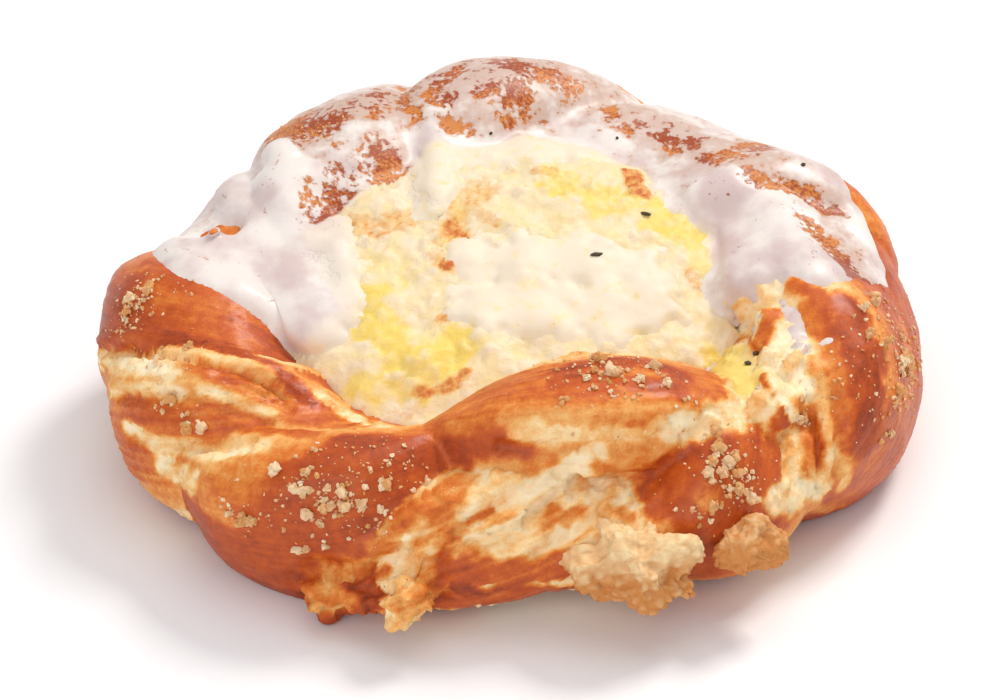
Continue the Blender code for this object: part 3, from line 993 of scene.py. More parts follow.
@dataclass(frozen=True)
class SugarIcing(Finish):
    """Icing of powdered sugar and water, spooned on while the bun is warm, then dried.

    Thick icing is white with a soft gloss and a faint lavender painted shade in broad blotches; thin
    icing lets the crust's brown through.
    """

    name: str = "sugar_icing"
    white: str = "#E9E0DA"
    # Lavender of painted shade, laid over the icing in broad blotches.
    shade: str = "#D3BEBB"
    cream: str = "#EBDCC6"
    veil: str = "#CDB0A2"
    yolk: str = "#EED8A2"
    golden: str = "#D2833E"
    brown: str = "#9C421F"
    pool: float = 9.0 * MM
    smear: float = 2.6 * MM
    speckle: float = 0.9 * MM
    grit: float = 0.5 * MM
    values: ClassVar[dict[str, object]] = {
        "IOR": 1.5,
        "Specular IOR Level": 0.4,
        "Subsurface Weight": 0.15,
        "Subsurface Radius": (1.0, 0.85, 0.75),
        "Subsurface Scale": 1.0 * MM,
    }

    def pattern(self, tree: Tree, place: Source) -> dict[object, Source]:
        """Paints lavender shade on the icing, veils the crust with it, and opens ragged gaps in it.

        Args:
            tree: the material's node tree.
            place: the place on the piece.

        Returns:
            What feeds the shader, from the attributes thick, crust, curd, worn and bare.
        """
        thick, crust, curd, worn, bare = (
            add_node(tree, "Attribute", {"attribute_name": name}).outputs["Fac"]
            for name in ("thick", "crust", "curd", "worn", "bare")
        )
        pools, smears, speckles, grits = (
            add_node(tree, "TexNoise", {"Scale": 1 / size, "Detail": 4.0}, {"Vector": place})
            for size in (self.pool, self.smear, self.speckle, self.grit)
        )
        painted_shade, tinted, thin, gaps, deep = (
            mask(tree, parts, span, ease="SMOOTHSTEP")
            for parts, span in (
                (((pools, 1.0),), (0.42, 0.66)),
                (((smears, 1.0), (speckles, 0.5), (thick, -0.25)), (0.52, 0.88)),
                (((thick, -0.8), (smears, 2.0), (speckles, 0.8), (worn, 1.0)), (0.80, 1.80)),
                (((bare, 0.55), (speckles, 2.0), (smears, 2.0), (worn, 0.5)), (2.42, 2.80)),
                (((pools, 1.2), (grits, 1.0)), (0.92, 1.24)),
            )
        )
        yolky, veiled, open_gaps = (
            add_node(tree, "Math", {"operation": "MULTIPLY"}, {0: share, 1: ground})
            for share, ground in ((tinted, curd), (thin, crust), (gaps, crust))
        )
        below = layered(tree, self.golden, ((deep, self.brown),))
        layers = (
            (painted_shade, self.shade),
            (curd, self.cream),
            (yolky, self.yolk),
            (veiled, self.veil),
            (open_gaps, below),
        )
        return {
            "Base Color": layered(tree, self.white, layers),
            "Roughness": add_node(tree, "Math", {"operation": "MULTIPLY_ADD", 1: 0.18, 2: 0.36}, {0: curd}),
            "Normal": bumps(tree, ((grits, 0.2, 0.12 * MM), (gaps, -0.4, 0.25 * MM))),
        }


@dataclass(frozen=True)
class ButterCrumble(Finish):
    """Streusel of butter, flour and sugar, rubbed into lumps and baked.

    It is dry and matt, cream inside and tan where the oven caught it.
    """

    name: str = "butter_crumble"
    cream: str = "#F2D9A8"
    tan: str = "#D08C4C"
    mottle: float = 1.6 * MM
    grit: float = 0.4 * MM
    values: ClassVar[dict[str, object]] = {
        "Roughness": 0.8,
        "IOR": 1.4,
        "Subsurface Weight": 0.1,
        "Subsurface Scale": 0.8 * MM,
    }

    def pattern(self, tree: Tree, place: Source) -> dict[object, Source]:
        """Tans the crumble unevenly and roughens it.

        Args:
            tree: the material's node tree.
            place: the place on the piece.

        Returns:
            What feeds the shader, from the attribute toast.
        """
        toast = add_node(tree, "Attribute", {"attribute_name": "toast"}).outputs["Fac"]
        mottles, grits = (
            add_node(tree, "TexNoise", {"Scale": 1 / size, "Detail": detail}, {"Vector": place})
            for size, detail in ((self.mottle, 4.0), (self.grit, 3.0))
        )
        share = mask(tree, ((mottles, 0.9), (toast, 1.0)), (0.40, 1.25))
        return {
            "Base Color": layered(tree, self.cream, ((share, self.tan),)),
            "Normal": bumps(tree, ((grits, 0.6, 0.2 * MM),)),
        }


@dataclass(frozen=True)
class DarkSpeck(Finish):
    """Dried herb or scorched seed, which shows as a matt, nearly black fleck."""

    name: str = "scorched_speck"
    dark: str = "#2B2118"
    light: str = "#5A4A32"
    mottle: float = 0.4 * MM
    values: ClassVar[dict[str, object]] = {"Roughness": 0.7}

    def pattern(self, tree: Tree, place: Source) -> dict[object, Source]:
        """Mottles the specks.

        Args:
            tree: the material's node tree.
            place: the place on the piece.

        Returns:
            What feeds the shader's colour.
        """
        mottles = add_node(tree, "TexNoise", {"Scale": 1 / self.mottle}, {"Vector": place})
        return {"Base Color": layered(tree, self.dark, ((mottles, self.light),))}


@dataclass(frozen=True)
class WhiteLaminate(Finish):
    """Melamine laminate, pressed with a fine matt texture: an even, nearly white table top."""

    name: str = "white_laminate"
    values: ClassVar[dict[str, object]] = {"Base Color": srgb("#F4F4F6"), "Roughness": 0.6}


# Dough


@dataclass(frozen=True)
class Ring:
    """The oval core line that the rope of dough follows, and the rope's oval section round it."""

    radius_x: float = 44.0 * MM
    radius_y: float = 36.5 * MM
    middle: tuple[float, float, float] = (0.4 * MM, 1.5 * MM, 0.0)
    dent_angle: float = 138.0
    dent_spread: float = 24.0
    dent_share: float = 0.10
    half_width: float = 18.5 * MM
    height: float = 30.0 * MM
    swing: float = 8.0 * MM
    tallest: float = 88.0

    def half_height(self, angle: np.ndarray) -> np.ndarray:
        """Half the rope's height at each angle round the ring."""
        return (self.height + self.swing * np.cos(np.radians(angle - self.tallest))) / 2

    def outward(self, angle: np.ndarray) -> np.ndarray:
        """The level direction away from the ring's middle at each angle."""
        turn = np.radians(np.asarray(angle, dtype=float))
        return np.stack([np.cos(turn), np.sin(turn), np.zeros_like(turn)], axis=-1)

    def core(self, angle: np.ndarray) -> np.ndarray:
        """The middle of the rope at each angle.

        Args:
            angle: degrees round the ring.

        Returns:
            The points of the core line, one a row.
        """
        angle = np.asarray(angle, dtype=float)
        turn = np.radians(angle)
        dent = 1 - self.dent_share * np.exp(-(((angle % 360 - self.dent_angle) / self.dent_spread) ** 2))
        return np.array(self.middle) + np.stack(
            [
                dent * self.radius_x * np.cos(turn),
                dent * self.radius_y * np.sin(turn),
                self.half_height(angle),
            ],
            axis=-1,
        )

    def place(self, angle: np.ndarray, roll: np.ndarray, share: float) -> np.ndarray:
        """Points in the rope's section.

        Args:
            angle: degrees round the ring.
            roll: degrees round the rope, 0 on its outer side and 90 on top.
            share: how far from the rope's middle to its edge.

        Returns:
            The points, one a row.
        """
        angle = np.asarray(angle, dtype=float)
        lift = np.radians(np.asarray(roll, dtype=float))
        level = self.outward(angle) * (self.half_width * np.cos(lift))[..., None]
        rise = np.stack([0 * lift, 0 * lift, self.half_height(angle) * np.sin(lift)], axis=-1)
        return self.core(angle) + share * (level + rise)


@dataclass(frozen=True)
class Strand:
    """One strand of the twist: its place on the ring as in the part, and how it baked.

    crown, near and far are how brown its crest and its two sides are, near being the side that faces
    the next strand round the ring. stretch is how streaked it is, and torn how ragged.
    """

    angle: float
    lean: float
    start: float
    end: float
    half_width: float
    swell: float
    arch: float
    crown: float = 0.72
    near: float = 0.35
    far: float = 0.45
    stretch: float = 0.3
    torn: float = 0.1


STRANDS = (
    Strand(170, 66, -80, 168, 12.5 * MM, 1.09, -1.0 * MM, crown=0.80, near=0.30, far=0.60, stretch=0.5),
    Strand(197, 66, -80, 168, 13.0 * MM, 1.00, -1.5 * MM, crown=0.62, near=0.25, far=0.30, stretch=1.0),
    Strand(224, 92, -42, 128, 14.0 * MM, 1.04, -3.0 * MM, crown=0.84, near=0.42, far=0.50, stretch=0.2),
    Strand(
        257, 72, -40, 110, 10.5 * MM, 0.84, 0.0, crown=0.16, near=0.14, far=0.18, stretch=0.8, torn=1.0
    ),
    Strand(464, -315, 124, 80, 9.5 * MM, 1.12, 11.0 * MM, crown=0.58, near=0.62, far=0.14, stretch=0.6),
    Strand(302, 44, -50, 168, 13.0 * MM, 1.02, 0.0, crown=0.82, near=0.34, far=0.40, stretch=0.2),
    Strand(340, 74, -80, 168, 17.0 * MM, 1.05, 0.0, crown=0.76, near=0.66, far=0.20, stretch=0.4),
    Strand(26, 60, -80, 168, 18.0 * MM, 0.98, -2.0 * MM, crown=0.70, near=0.50, far=0.55, stretch=0.3),
    Strand(72, 60, -80, 168, 11.0 * MM, 1.08, 2.0 * MM, crown=0.66, near=0.45, far=0.50, stretch=0.3),
    Strand(108, 56, -80, 168, 14.0 * MM, 1.08, 1.0 * MM, crown=0.70, near=0.45, far=0.50, stretch=0.3),
    Strand(138, 56, -80, 168, 11.0 * MM, 0.92, -3.0 * MM, crown=0.64, near=0.45, far=0.50, stretch=0.3),
)


@dataclass(frozen=True)
class Lump:
    """A lump baked onto the ring, as in the part.

    A sunk one has melted into the crust, and flaky is how far it broke up into flakes.
    """

    angle: float
    roll: float
    share: float
    radius: float
    sunk: bool = False
    flaky: float = 0.0


LUMPS = (
    Lump(330, 76, 0.97, 5.0 * MM),
    Lump(320, 70, 1.00, 4.4 * MM),
    Lump(337, 94, 0.97, 4.2 * MM),
    Lump(244, -36, 1.04, 4.0 * MM, flaky=1.0),
    Lump(250, -24, 0.98, 3.4 * MM, flaky=1.0),
    Lump(256, -14, 1.00, 4.2 * MM, flaky=1.0),
    Lump(140, 72, 1.00, 2.6 * MM, sunk=True),
    Lump(168, 84, 1.00, 2.4 * MM, sunk=True),
)
LUMP_ROUGHNESS = 0.45
LUMP_GRAIN = 3.6 * MM


def rough_ball(
    middle: np.ndarray,
    sizes: np.ndarray,
    detail: int,
    size: float = LUMP_GRAIN,
    height: float = LUMP_ROUGHNESS,
) -> tuple[np.ndarray, Faces]:
    """A rough lump: a ball with its points pushed in and out by smooth noise.

    Args:
        middle: the middle of the lump.
        sizes: its half sizes along X, Y and Z.
        detail: how often the ball's faces are split.
        size: the size of one bump.
        height: how far the bumps rise, as a share of the ball's half size.

    Returns:
        Its points and its faces.
    """
    shape = bmesh.new()
    bmesh.ops.create_icosphere(shape, subdivisions=detail, radius=1.0)
    way = np.array([vert.co[:] for vert in shape.verts])
    faces = [tuple(vert.index for vert in face.verts) for face in shape.faces]
    shape.free()
    swell = 1 + height * grain(middle + way * sizes, size)
    return middle + way * sizes * swell[:, None], faces


@dataclass
class Bodies:
    """Closed bodies gathered into one list of points and faces."""

    points: list[np.ndarray] = field(default_factory=list)
    faces: Faces = field(default_factory=list)
    count: int = 0

    def add(self, points: np.ndarray, faces: Faces) -> None:
        """Adds one body.

        Args:
            points: its corners, one a row.
            faces: its faces, by corner number.
        """
        self.points.append(np.asarray(points))
        self.faces += [tuple(i + self.count for i in face) for face in faces]
        self.count += len(points)

    def add_tube(self, rings: np.ndarray, poles: list[np.ndarray]) -> None:
        """Adds a tube through rings of points.

        Args:
            rings: the rings, one after the other.
            poles: the tips that close its ends, or none where it runs round into itself.
        """
        rows, sides = rings.shape[:2]
        points = [rings.reshape(-1, 3)] + [np.asarray(pole)[None] for pole in poles]
        faces = []
        for i in range(rows if not poles else rows - 1):
            for k in range(sides):
                here, there = i * sides, (i + 1) % rows * sides
                turn = (k + 1) % sides
                faces.append((here + k, there + k, there + turn, here + turn))
        for end, tip in ((0, rows * sides), (rows - 1, rows * sides + 1)):
            if poles:
                for k in range(sides):
                    edge = (end * sides + k, end * sides + (k + 1) % sides)
                    faces.append((*(edge if end == 0 else edge[::-1]), tip))
        self.add(np.concatenate(points), faces)


@dataclass
class Sections:
    """The cross sections along one strand, for building it and for finding places on it."""

    path: np.ndarray
    along: np.ndarray
    across: np.ndarray
    up: np.ndarray
    out: np.ndarray
    wide: np.ndarray
    thick: np.ndarray
    bend: np.ndarray
    run: np.ndarray


@dataclass
class Crust:
    """The dough's skin while it bakes: its points and where each lies on its strand.

    strand is the place along and across the strand in metres, side and rise are shares of the strand's
    half sizes, traits are the strand's own, and ragged and wide are fine and broad noise.
    """

    points: np.ndarray
    strand: np.ndarray
    side: np.ndarray
    rise: np.ndarray
    traits: dict[str, np.ndarray]
    ragged: np.ndarray
    wide: np.ndarray


@dataclass
class TwistedDough:
    """The twisted ring of dough on its floor, as one piece.

    The strands, the core under them, the floor and the lumps are melted into one skin, which then gets
    the folds, streaks and tears of the crust.
    """

    ring: Ring = field(default_factory=Ring)
    voxel: float = 0.62 * MM
    seat: float = 0.42
    squareness: float = 2.6
    steps: int = 96
    sides: int = 48
    core_share: float = 0.80
    base_radius: float = 34.0 * MM
    base_thickness: float = 7.0 * MM
    streak_height: float = 0.35 * MM
    tear_height: float = 1.6 * MM
    wrinkle_height: float = 0.30 * MM
    flake_height: float = 0.9 * MM
    strand_gap: float = 40.0 * MM
    # How dark the lowest few millimetres are: a browner bottom and painted shade at the table.
    under_bake_and_shade: float = 0.88

    def sections(self, strand: Strand) -> Sections:
        """Works out a strand's cross sections.

        Args:
            strand: the strand.

        Returns:
            Its path, the directions along, across and up at each step, and its half sizes.
        """
        share = np.linspace(0, 1, self.steps + 1)
        roll = strand.start + (strand.end - strand.start) * share
        angle = strand.angle + strand.lean * roll / 180
        path = self.ring.place(angle, roll, self.seat)
        path[:, 2] += strand.arch * np.sin(np.pi * share)
        along = np.gradient(path, axis=0)
        along /= np.linalg.norm(along, axis=1, keepdims=True)
        across = np.cross(along, path - self.ring.core(angle))
        across /= np.linalg.norm(across, axis=1, keepdims=True)
        up = np.cross(across, along)
        taper = np.sqrt(np.sin(np.pi * share).clip(0))
        lift = np.abs(np.sin(np.radians(roll)))
        reach = self.ring.half_width + (self.ring.half_height(angle) - self.ring.half_width) * lift
        bend = np.linalg.norm((path - np.array(self.ring.middle))[:, :2], axis=1)
        step = np.linalg.norm(np.diff(path, axis=0), axis=1)
        return Sections(
            path=path,
            along=along,
            across=across,
            up=up,
            out=self.ring.outward(angle),
            wide=strand.half_width * taper,
            thick=(1 - self.seat) * reach * strand.swell * taper,
            bend=bend,
            run=np.concatenate([[0], np.cumsum(step)]),
        )

    def strand_rings(self, cuts: Sections) -> np.ndarray:
        """The outline of a strand at each of its cross sections.

        Args:
            cuts: the strand's cross sections.

        Returns:
            One ring of points for each inner section.
        """
        t = np.linspace(0, 2 * np.pi, self.sides, endpoint=False)
        power = 2 / self.squareness
        flat = np.sign(np.cos(t)) * np.abs(np.cos(t)) ** power
        tall = np.sign(np.sin(t)) * np.abs(np.sin(t)) ** power
        inner = slice(1, -1)
        side = cuts.across[inner, None] * (cuts.wide[inner, None] * flat)[..., None]
        rise = cuts.up[inner, None] * (cuts.thick[inner, None] * tall)[..., None]
        bow = (side[..., :2] ** 2).sum(-1) / (2 * cuts.bend[inner, None])
        return cuts.path[inner, None] + side + rise - cuts.out[inner, None] * bow[..., None]

    def skin(self) -> bpy.types.Mesh:
        """Melts the strands, the core, the floor and the lumps into one skin.

        Returns:
            The plain skin of the dough.
        """
        bodies = Bodies()
        for strand in STRANDS:
            cuts = self.sections(strand)
            bodies.add_tube(self.strand_rings(cuts), [cuts.path[0], cuts.path[-1]])
        angle, roll = np.meshgrid(
            np.linspace(0, 360, 180, endpoint=False), np.linspace(0, 360, 40, endpoint=False), indexing="ij"
        )
        bodies.add_tube(self.ring.place(angle, roll, self.core_share), [])
        turn = np.linspace(0, 2 * np.pi, 96, endpoint=False)
        rim = np.stack([np.cos(turn), np.sin(turn), 0 * turn], axis=-1) * self.base_radius
        low, high = np.array([0, 0, -2 * MM]), np.array([0, 0, self.base_thickness])
        bodies.add_tube(np.stack([rim + low, rim + high]), [low, high])
        for lump in LUMPS:
            middle = self.ring.place(lump.angle, lump.roll, lump.share)
            bodies.add(*rough_ball(middle, np.full(3, lump.radius), 4))
        return remeshed("dough_skin", np.concatenate(bodies.points), bodies.faces, self.voxel)

    def locate(self, points: np.ndarray) -> tuple[np.ndarray, ...]:
        """Finds the strand that each point of the skin belongs to, and its place on it.

        Args:
            points: the points, one a row.

        Returns:
            The strand's number, the run along it in metres, and the place across it and above its
            path as shares of its half sizes.
        """
        best = np.full(len(points), np.inf)
        owner = np.zeros(len(points), dtype=int)
        run, side, rise = (np.zeros(len(points)) for _ in range(3))
        for number, strand in enumerate(STRANDS):
            cuts = self.sections(strand)
            near = np.zeros(len(points), dtype=int)
            gap = np.full(len(points), np.inf)
            for i in range(2, self.steps - 1):
                far = ((points - cuts.path[i]) ** 2).sum(1)
                closer = far < gap
                gap[closer], near[closer] = far[closer], i
            away = points - cuts.path[near]
            t = (away * cuts.along[near]).sum(1)
            u = (away * cuts.across[near]).sum(1)
            bow = u ** 2 / (2 * cuts.bend[near])
            v = (away * cuts.up[near]).sum(1) + bow * (cuts.out[near] * cuts.up[near]).sum(1)
            u, v = u / cuts.wide[near], v / cuts.thick[near]
            level = (np.abs(u) ** self.squareness + np.abs(v) ** self.squareness) ** (1 / self.squareness)
            level += np.maximum(np.abs(t) - 1.5 * MM, 0.0) / (6 * MM)
            won = level < best
            best[won], owner[won] = level[won], number
            run[won] = (cuts.run[near] + t)[won]
            side[won], rise[won] = u[won], v[won]
        return owner, run, side, rise

    def near_lump(self, points: np.ndarray, lump: Lump, far: float, close: float) -> np.ndarray:
        """Eases from 0 far from a lump to 1 close to it, both in the lump's own radii."""
        middle = self.ring.place(lump.angle, lump.roll, lump.share)
        return smooth(far, close, np.linalg.norm(points - middle, axis=1) / lump.radius)

    def melt_lumps(self, mesh: bpy.types.Mesh) -> None:
        """Evens out the lumps that sank into the crust.

        Args:
            mesh: the dough's skin.
        """
        points, _ = corners(mesh)
        for lump in LUMPS:
            if lump.sunk:
                near = self.near_lump(points, lump, 2.6, 1.3)
                points += near[:, None] * (relax(mesh, points, 80) - points)
        place_corners(mesh, points)

    def survey(self, points: np.ndarray) -> Crust:
        """Notes where each point of the skin lies on its strand.

        Args:
            points: the skin's points.

        Returns:
            The crust, ready to bake.
        """
        owner, run, side, rise = self.locate(points)
        traits = {
            name: np.array([getattr(one, name) for one in STRANDS], dtype=float)[owner]
            for name in ("half_width", "crown", "near", "far", "stretch", "torn")
        }
        strand = np.stack([run, side * traits["half_width"], owner * self.strand_gap], axis=1)
        ragged = grain(points, 2.6 * MM, 3)
        wide = grain(points, 9.0 * MM, 2, 5.0)
        return Crust(points, strand, side, rise, traits, ragged, wide)

    def browned(self, crust: Crust, marks: list[Stroke]) -> np.ndarray:
        """Bakes the crust: brown on the crests, paler down the sides, and as the marks say, a few of them
        painted shade.

        Args:
            crust: the crust.
            marks: the marks of browning, a few of them painted shade.

        Returns:
            How brown each point is, before streaks and tears.
        """
        traits = crust.traits
        flank = np.where(crust.side > 0, traits["near"], traits["far"])
        slope = smooth(0.30, 0.92, np.abs(crust.side) + 0.12 * crust.wide)
        bake_and_shade = traits["crown"] * (1 - slope) + flank * slope
        bake_and_shade *= 1 - 0.35 * smooth(0.45, 0.0, crust.rise)
        bake_and_shade += 0.07 * crust.wide
        for mark in marks:
            bake_and_shade += mark.share(crust.points, crust.ragged) * (mark.value - bake_and_shade)
        return bake_and_shade

    def broken(self, crust: Crust, bake_and_shade: np.ndarray) -> tuple[np.ndarray, np.ndarray]:
        """Finds where the dough tore or broke up.

        Args:
            crust: the crust.
            bake_and_shade: how brown it is; pale dough is torn dough.

        Returns:
            How torn and how flaky each point is, from 0 to 1.
        """
        pale = smooth(0.34, 0.16, bake_and_shade)
        torn = np.clip(np.maximum(crust.traits["torn"] * smooth(0.62, 0.40, bake_and_shade), 0.9 * pale), 0, 1)
        flaky = np.zeros(len(bake_and_shade))
        for lump in LUMPS:
            flaky = np.maximum(flaky, lump.flaky * self.near_lump(crust.points, lump, 1.9, 1.2))
        return np.maximum(torn, flaky), flaky

    def textured(
        self, crust: Crust, bake_and_shade: np.ndarray, torn: np.ndarray, flaky: np.ndarray
    ) -> tuple[np.ndarray, np.ndarray]:
        """Gives the crust its streaks, flakes and crags.

        Args:
            crust: the crust.
            bake_and_shade: how brown each point is.
            torn: how torn it is.
            flaky: how flaky it is.

        Returns:
            How brown each point is with them, and how far it is raised, in metres.
        """
        points, strand, ragged = crust.points, crust.strand, crust.ragged
        stretch = crust.traits["stretch"]
        streaks = ridges(strand, (16 * MM, 1.5 * MM, 1.0), 3.0)
        strands = grain(strand, (12 * MM, 1.1 * MM, 1.0), 2, 6.0)
        fibres = ridges(strand, (9 * MM, 3.4 * MM, 1.0), 11.0)
        crags = ridges(points, 4.6 * MM, 7.0)
        crumb = ridges(points, 2.1 * MM, 9.0)
        layers = flakes(strand + 0.8 * MM * ragged[:, None], (9 * MM, 2.8 * MM, 3.0), 2.0)
        scraps = flakes(strand + 0.5 * MM * ragged[:, None], (3.6 * MM, 1.5 * MM, 2.0), 5.0)
        chips = curds(points + 1.5 * MM * ragged[:, None], 3.4 * MM, 6.0)
        bake_and_shade = bake_and_shade + stretch * (0.14 * strands + 0.12 * (streaks - 0.5))
        bake_and_shade += torn * (0.30 * (layers - 0.5) + 0.20 * (scraps - 0.5) + 0.16 * (crags * fibres - 0.2))
        # The lowest few millimetres darken: partly the browner bottom of the bun, partly painted shade where
        # it meets the table.
        under = smooth(3.4 * MM, 1.2 * MM, points[:, 2] + 0.8 * MM * ragged)
        bake_and_shade += under * (self.under_bake_and_shade - bake_and_shade)
        relief = self.wrinkle_height * crust.wide + 0.10 * MM * ragged
        relief += self.streak_height * stretch * (streaks - 0.5)
        relief += self.tear_height * torn * (0.9 * layers + 0.5 * scraps + 0.2 * crags + 0.3 * crumb - 1.0)
        relief += self.flake_height * flaky * ((chips - 0.7) + (scraps - 0.5))
        return np.clip(bake_and_shade, 0.0, 1.0), relief

    def build(self) -> bpy.types.Object:
        """Builds the dough with its relief and its marks of baking.

        Returns:
            The dough, which replaces the part's plain one.
        """
        mesh = self.skin()
        self.melt_lumps(mesh)
        points, normals = corners(mesh)
        plain = [surface_of(mesh)]
        crust = self.survey(points)
        bake_and_shade = self.browned(crust, VIEW.laid(CRUST_MARKS, plain))
        torn, flaky = self.broken(crust, bake_and_shade)
        bake_and_shade, relief = self.textured(crust, bake_and_shade, torn, flaky)
        for mark in VIEW.laid(CRUST_RELIEF, plain):
            relief += mark.value * MM * mark.share(points, 0.5 * crust.ragged)
        floor = smooth(0.2 * MM, 2.5 * MM, points[:, 2])
        raised = points + normals * (relief * floor)[:, None]
        raised[:, 2] = np.maximum(raised[:, 2], 0.0)
        place_corners(mesh, raised)
        smear = 0.85 * strongest(VIEW.laid(CURD_SMEARS, plain), raised, 1.2 * crust.ragged)
        for name, values in (("bake_and_shade", bake_and_shade), ("torn", torn), ("strand", crust.strand), ("smear", smear)):
            paint(mesh, name, values)
        piece = placed("dough_ring", mesh)
        dress(piece, EggWashedCrust().material())
        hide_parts("dough")
        return piece


# Filling


@dataclass
class CheeseFilling:
    """The mound of curd cheese inside the ring, with a lumpy top that slopes up to the back."""

    ring: Ring = field(default_factory=Ring)
    radius_x: float = 38.5 * MM
    radius_y: float = 31.0 * MM
    level: float = 23.0 * MM
    tilt: float = 0.30
    crown: float = 7.0 * MM
    lump_size: float = 6.0 * MM
    lump_height: float = 1.3 * MM
    bottom: float = 7.45 * MM
    pitch: float = 0.45 * MM
    tuck: float = 2.0 * MM

    def outness(self, x: np.ndarray, y: np.ndarray) -> np.ndarray:
        """The square of how far out each place lies, 1 at the filling's rim."""
        level_x, level_y = x - self.ring.middle[0], y - self.ring.middle[1]
        return (level_x / self.radius_x) ** 2 + (level_y / self.radius_y) ** 2

    def top(self, x: np.ndarray, y: np.ndarray) -> np.ndarray:
        """Height of the filling's top, as in the part.

        Args:
            x: places along X.
            y: places along Y.

        Returns:
            The heights.
        """
        dome = self.crown * (1 - self.outness(x, y) ** 2)
        lumps = grain(np.stack([x, y, 0 * x], axis=1), self.lump_size)
        return self.level + self.tilt * y + dome + self.lump_height * lumps

    def curdled(self, points: np.ndarray, size: float, swirl: float, shift: float) -> np.ndarray:
        """Curds of uneven shape, 1 in the middle of each and 0 in the creases between them."""
        way = np.stack([grain(points, 2.6 * MM, 2, turn) for turn in (1.0, 4.0, 7.0)], axis=1)
        return curds(points + swirl * way, size, shift)

    def large_curds(self, points: np.ndarray) -> np.ndarray:
        """The large curds, which also show as yellow creases."""
        return self.curdled(points, 3.2 * MM, 1.3 * MM, 2.0)

    def relief(self, points: np.ndarray) -> np.ndarray:
        """How far curds and swells raise the filling's top.

        Args:
            points: the points of the top.

        Returns:
            The heights in metres.
        """
        small = self.curdled(points, 1.25 * MM, 0.7 * MM, 5.0)
        rough = grain(points, 1.6 * MM, 3, 9.0)
        broad = grain(points, 8.0 * MM, 2, 4.0)
        lumpy = 0.35 + 0.65 * smooth(-0.25, 0.35, grain(points, 7.0 * MM, 2, 13.0))
        bumpy = 0.75 * (self.large_curds(points) - 0.6) + 0.36 * (small - 0.5)
        return MM * (lumpy * bumpy + 0.26 * rough + 0.5 * broad)

    def mound(self, points: np.ndarray, keep: np.ndarray) -> bpy.types.Mesh:
        """Closes the top with walls and a flat bottom.

        Args:
            points: the points of the top, row by row.
            keep: which of them the mound has, as a grid.

        Returns:
            The closed mesh.
        """
        cells = keep[:-1, :-1] & keep[1:, :-1] & keep[:-1, 1:] & keep[1:, 1:]
        number = np.arange(keep.size).reshape(keep.shape)
        shape = bmesh.new()
        verts = [shape.verts.new(p) for p in points]
        for i, k in np.argwhere(cells):
            quad = (number[i, k], number[i + 1, k], number[i + 1, k + 1], number[i, k + 1])
            shape.faces.new([verts[n] for n in quad])
        bmesh.ops.delete(shape, geom=[v for v in shape.verts if not v.link_faces], context="VERTS")
        rim = [edge for edge in shape.edges if edge.is_boundary]
        walls = bmesh.ops.extrude_edge_only(shape, edges=rim)["geom"]
        for item in walls:
            if isinstance(item, bmesh.types.BMVert):
                item.co.z = self.bottom
        bmesh.ops.holes_fill(shape, edges=[edge for edge in shape.edges if edge.is_boundary], sides=0)
        bmesh.ops.triangulate(shape, faces=[face for face in shape.faces if len(face.verts) > 4])
        bmesh.ops.recalc_face_normals(shape, faces=shape.faces)
        return mesh_of("curd_filling", shape)

    def build(self, dough: BVHTree) -> bpy.types.Object:
        """Builds the filling up to the dough round it.

        Args:
            dough: the dough's surface, which the filling stops inside.

        Returns:
            The filling, which replaces the part's plain one.
        """
        spans = [
            np.linspace(-radius, radius, int(2 * radius / self.pitch) + 1) + middle
            for radius, middle in zip((self.radius_x, self.radius_y), self.ring.middle)
        ]
        x, y = (grid.ravel() for grid in np.meshgrid(*spans, indexing="ij"))
        points = np.stack([x, y, self.top(x, y)], axis=1)
        points[:, 2] += self.relief(points)
        keep = self.outness(x, y) < 1.0
        for i in np.flatnonzero(keep):
            roof = drop([dough], x[i], y[i])
            keep[i] = not roof or roof[0].z <= points[i, 2] + self.tuck
        mesh = self.mound(points, keep.reshape([len(span) for span in spans]))
        points, _ = corners(mesh)
        ragged = grain(points, 3.0 * MM, 3)
        crease = 1 - self.large_curds(points)
        shown = [dough, surface_of(mesh)]
        yolk = strongest(VIEW.laid(YOLK_MARKS, shown), points, 1.3 * ragged) * (0.65 + 0.35 * crease)
        paint(mesh, "yolk", np.maximum(yolk, 0.08 + 0.26 * crease))
        paint(mesh, "toast", strongest(VIEW.laid(TOAST_MARKS, shown), points, ragged))
        piece = placed("curd_filling", mesh)
        dress(piece, CurdCheese().material())
        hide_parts("cheese_filling")
        return piece


# Icing


@dataclass
class Ground:
    """The bun's skin under the icing: its mesh, points and facings, noise on them, and where curd is."""

    mesh: bpy.types.Mesh
    points: np.ndarray
    facing: np.ndarray
    ragged: np.ndarray
    fine: np.ndarray
    curd: np.ndarray


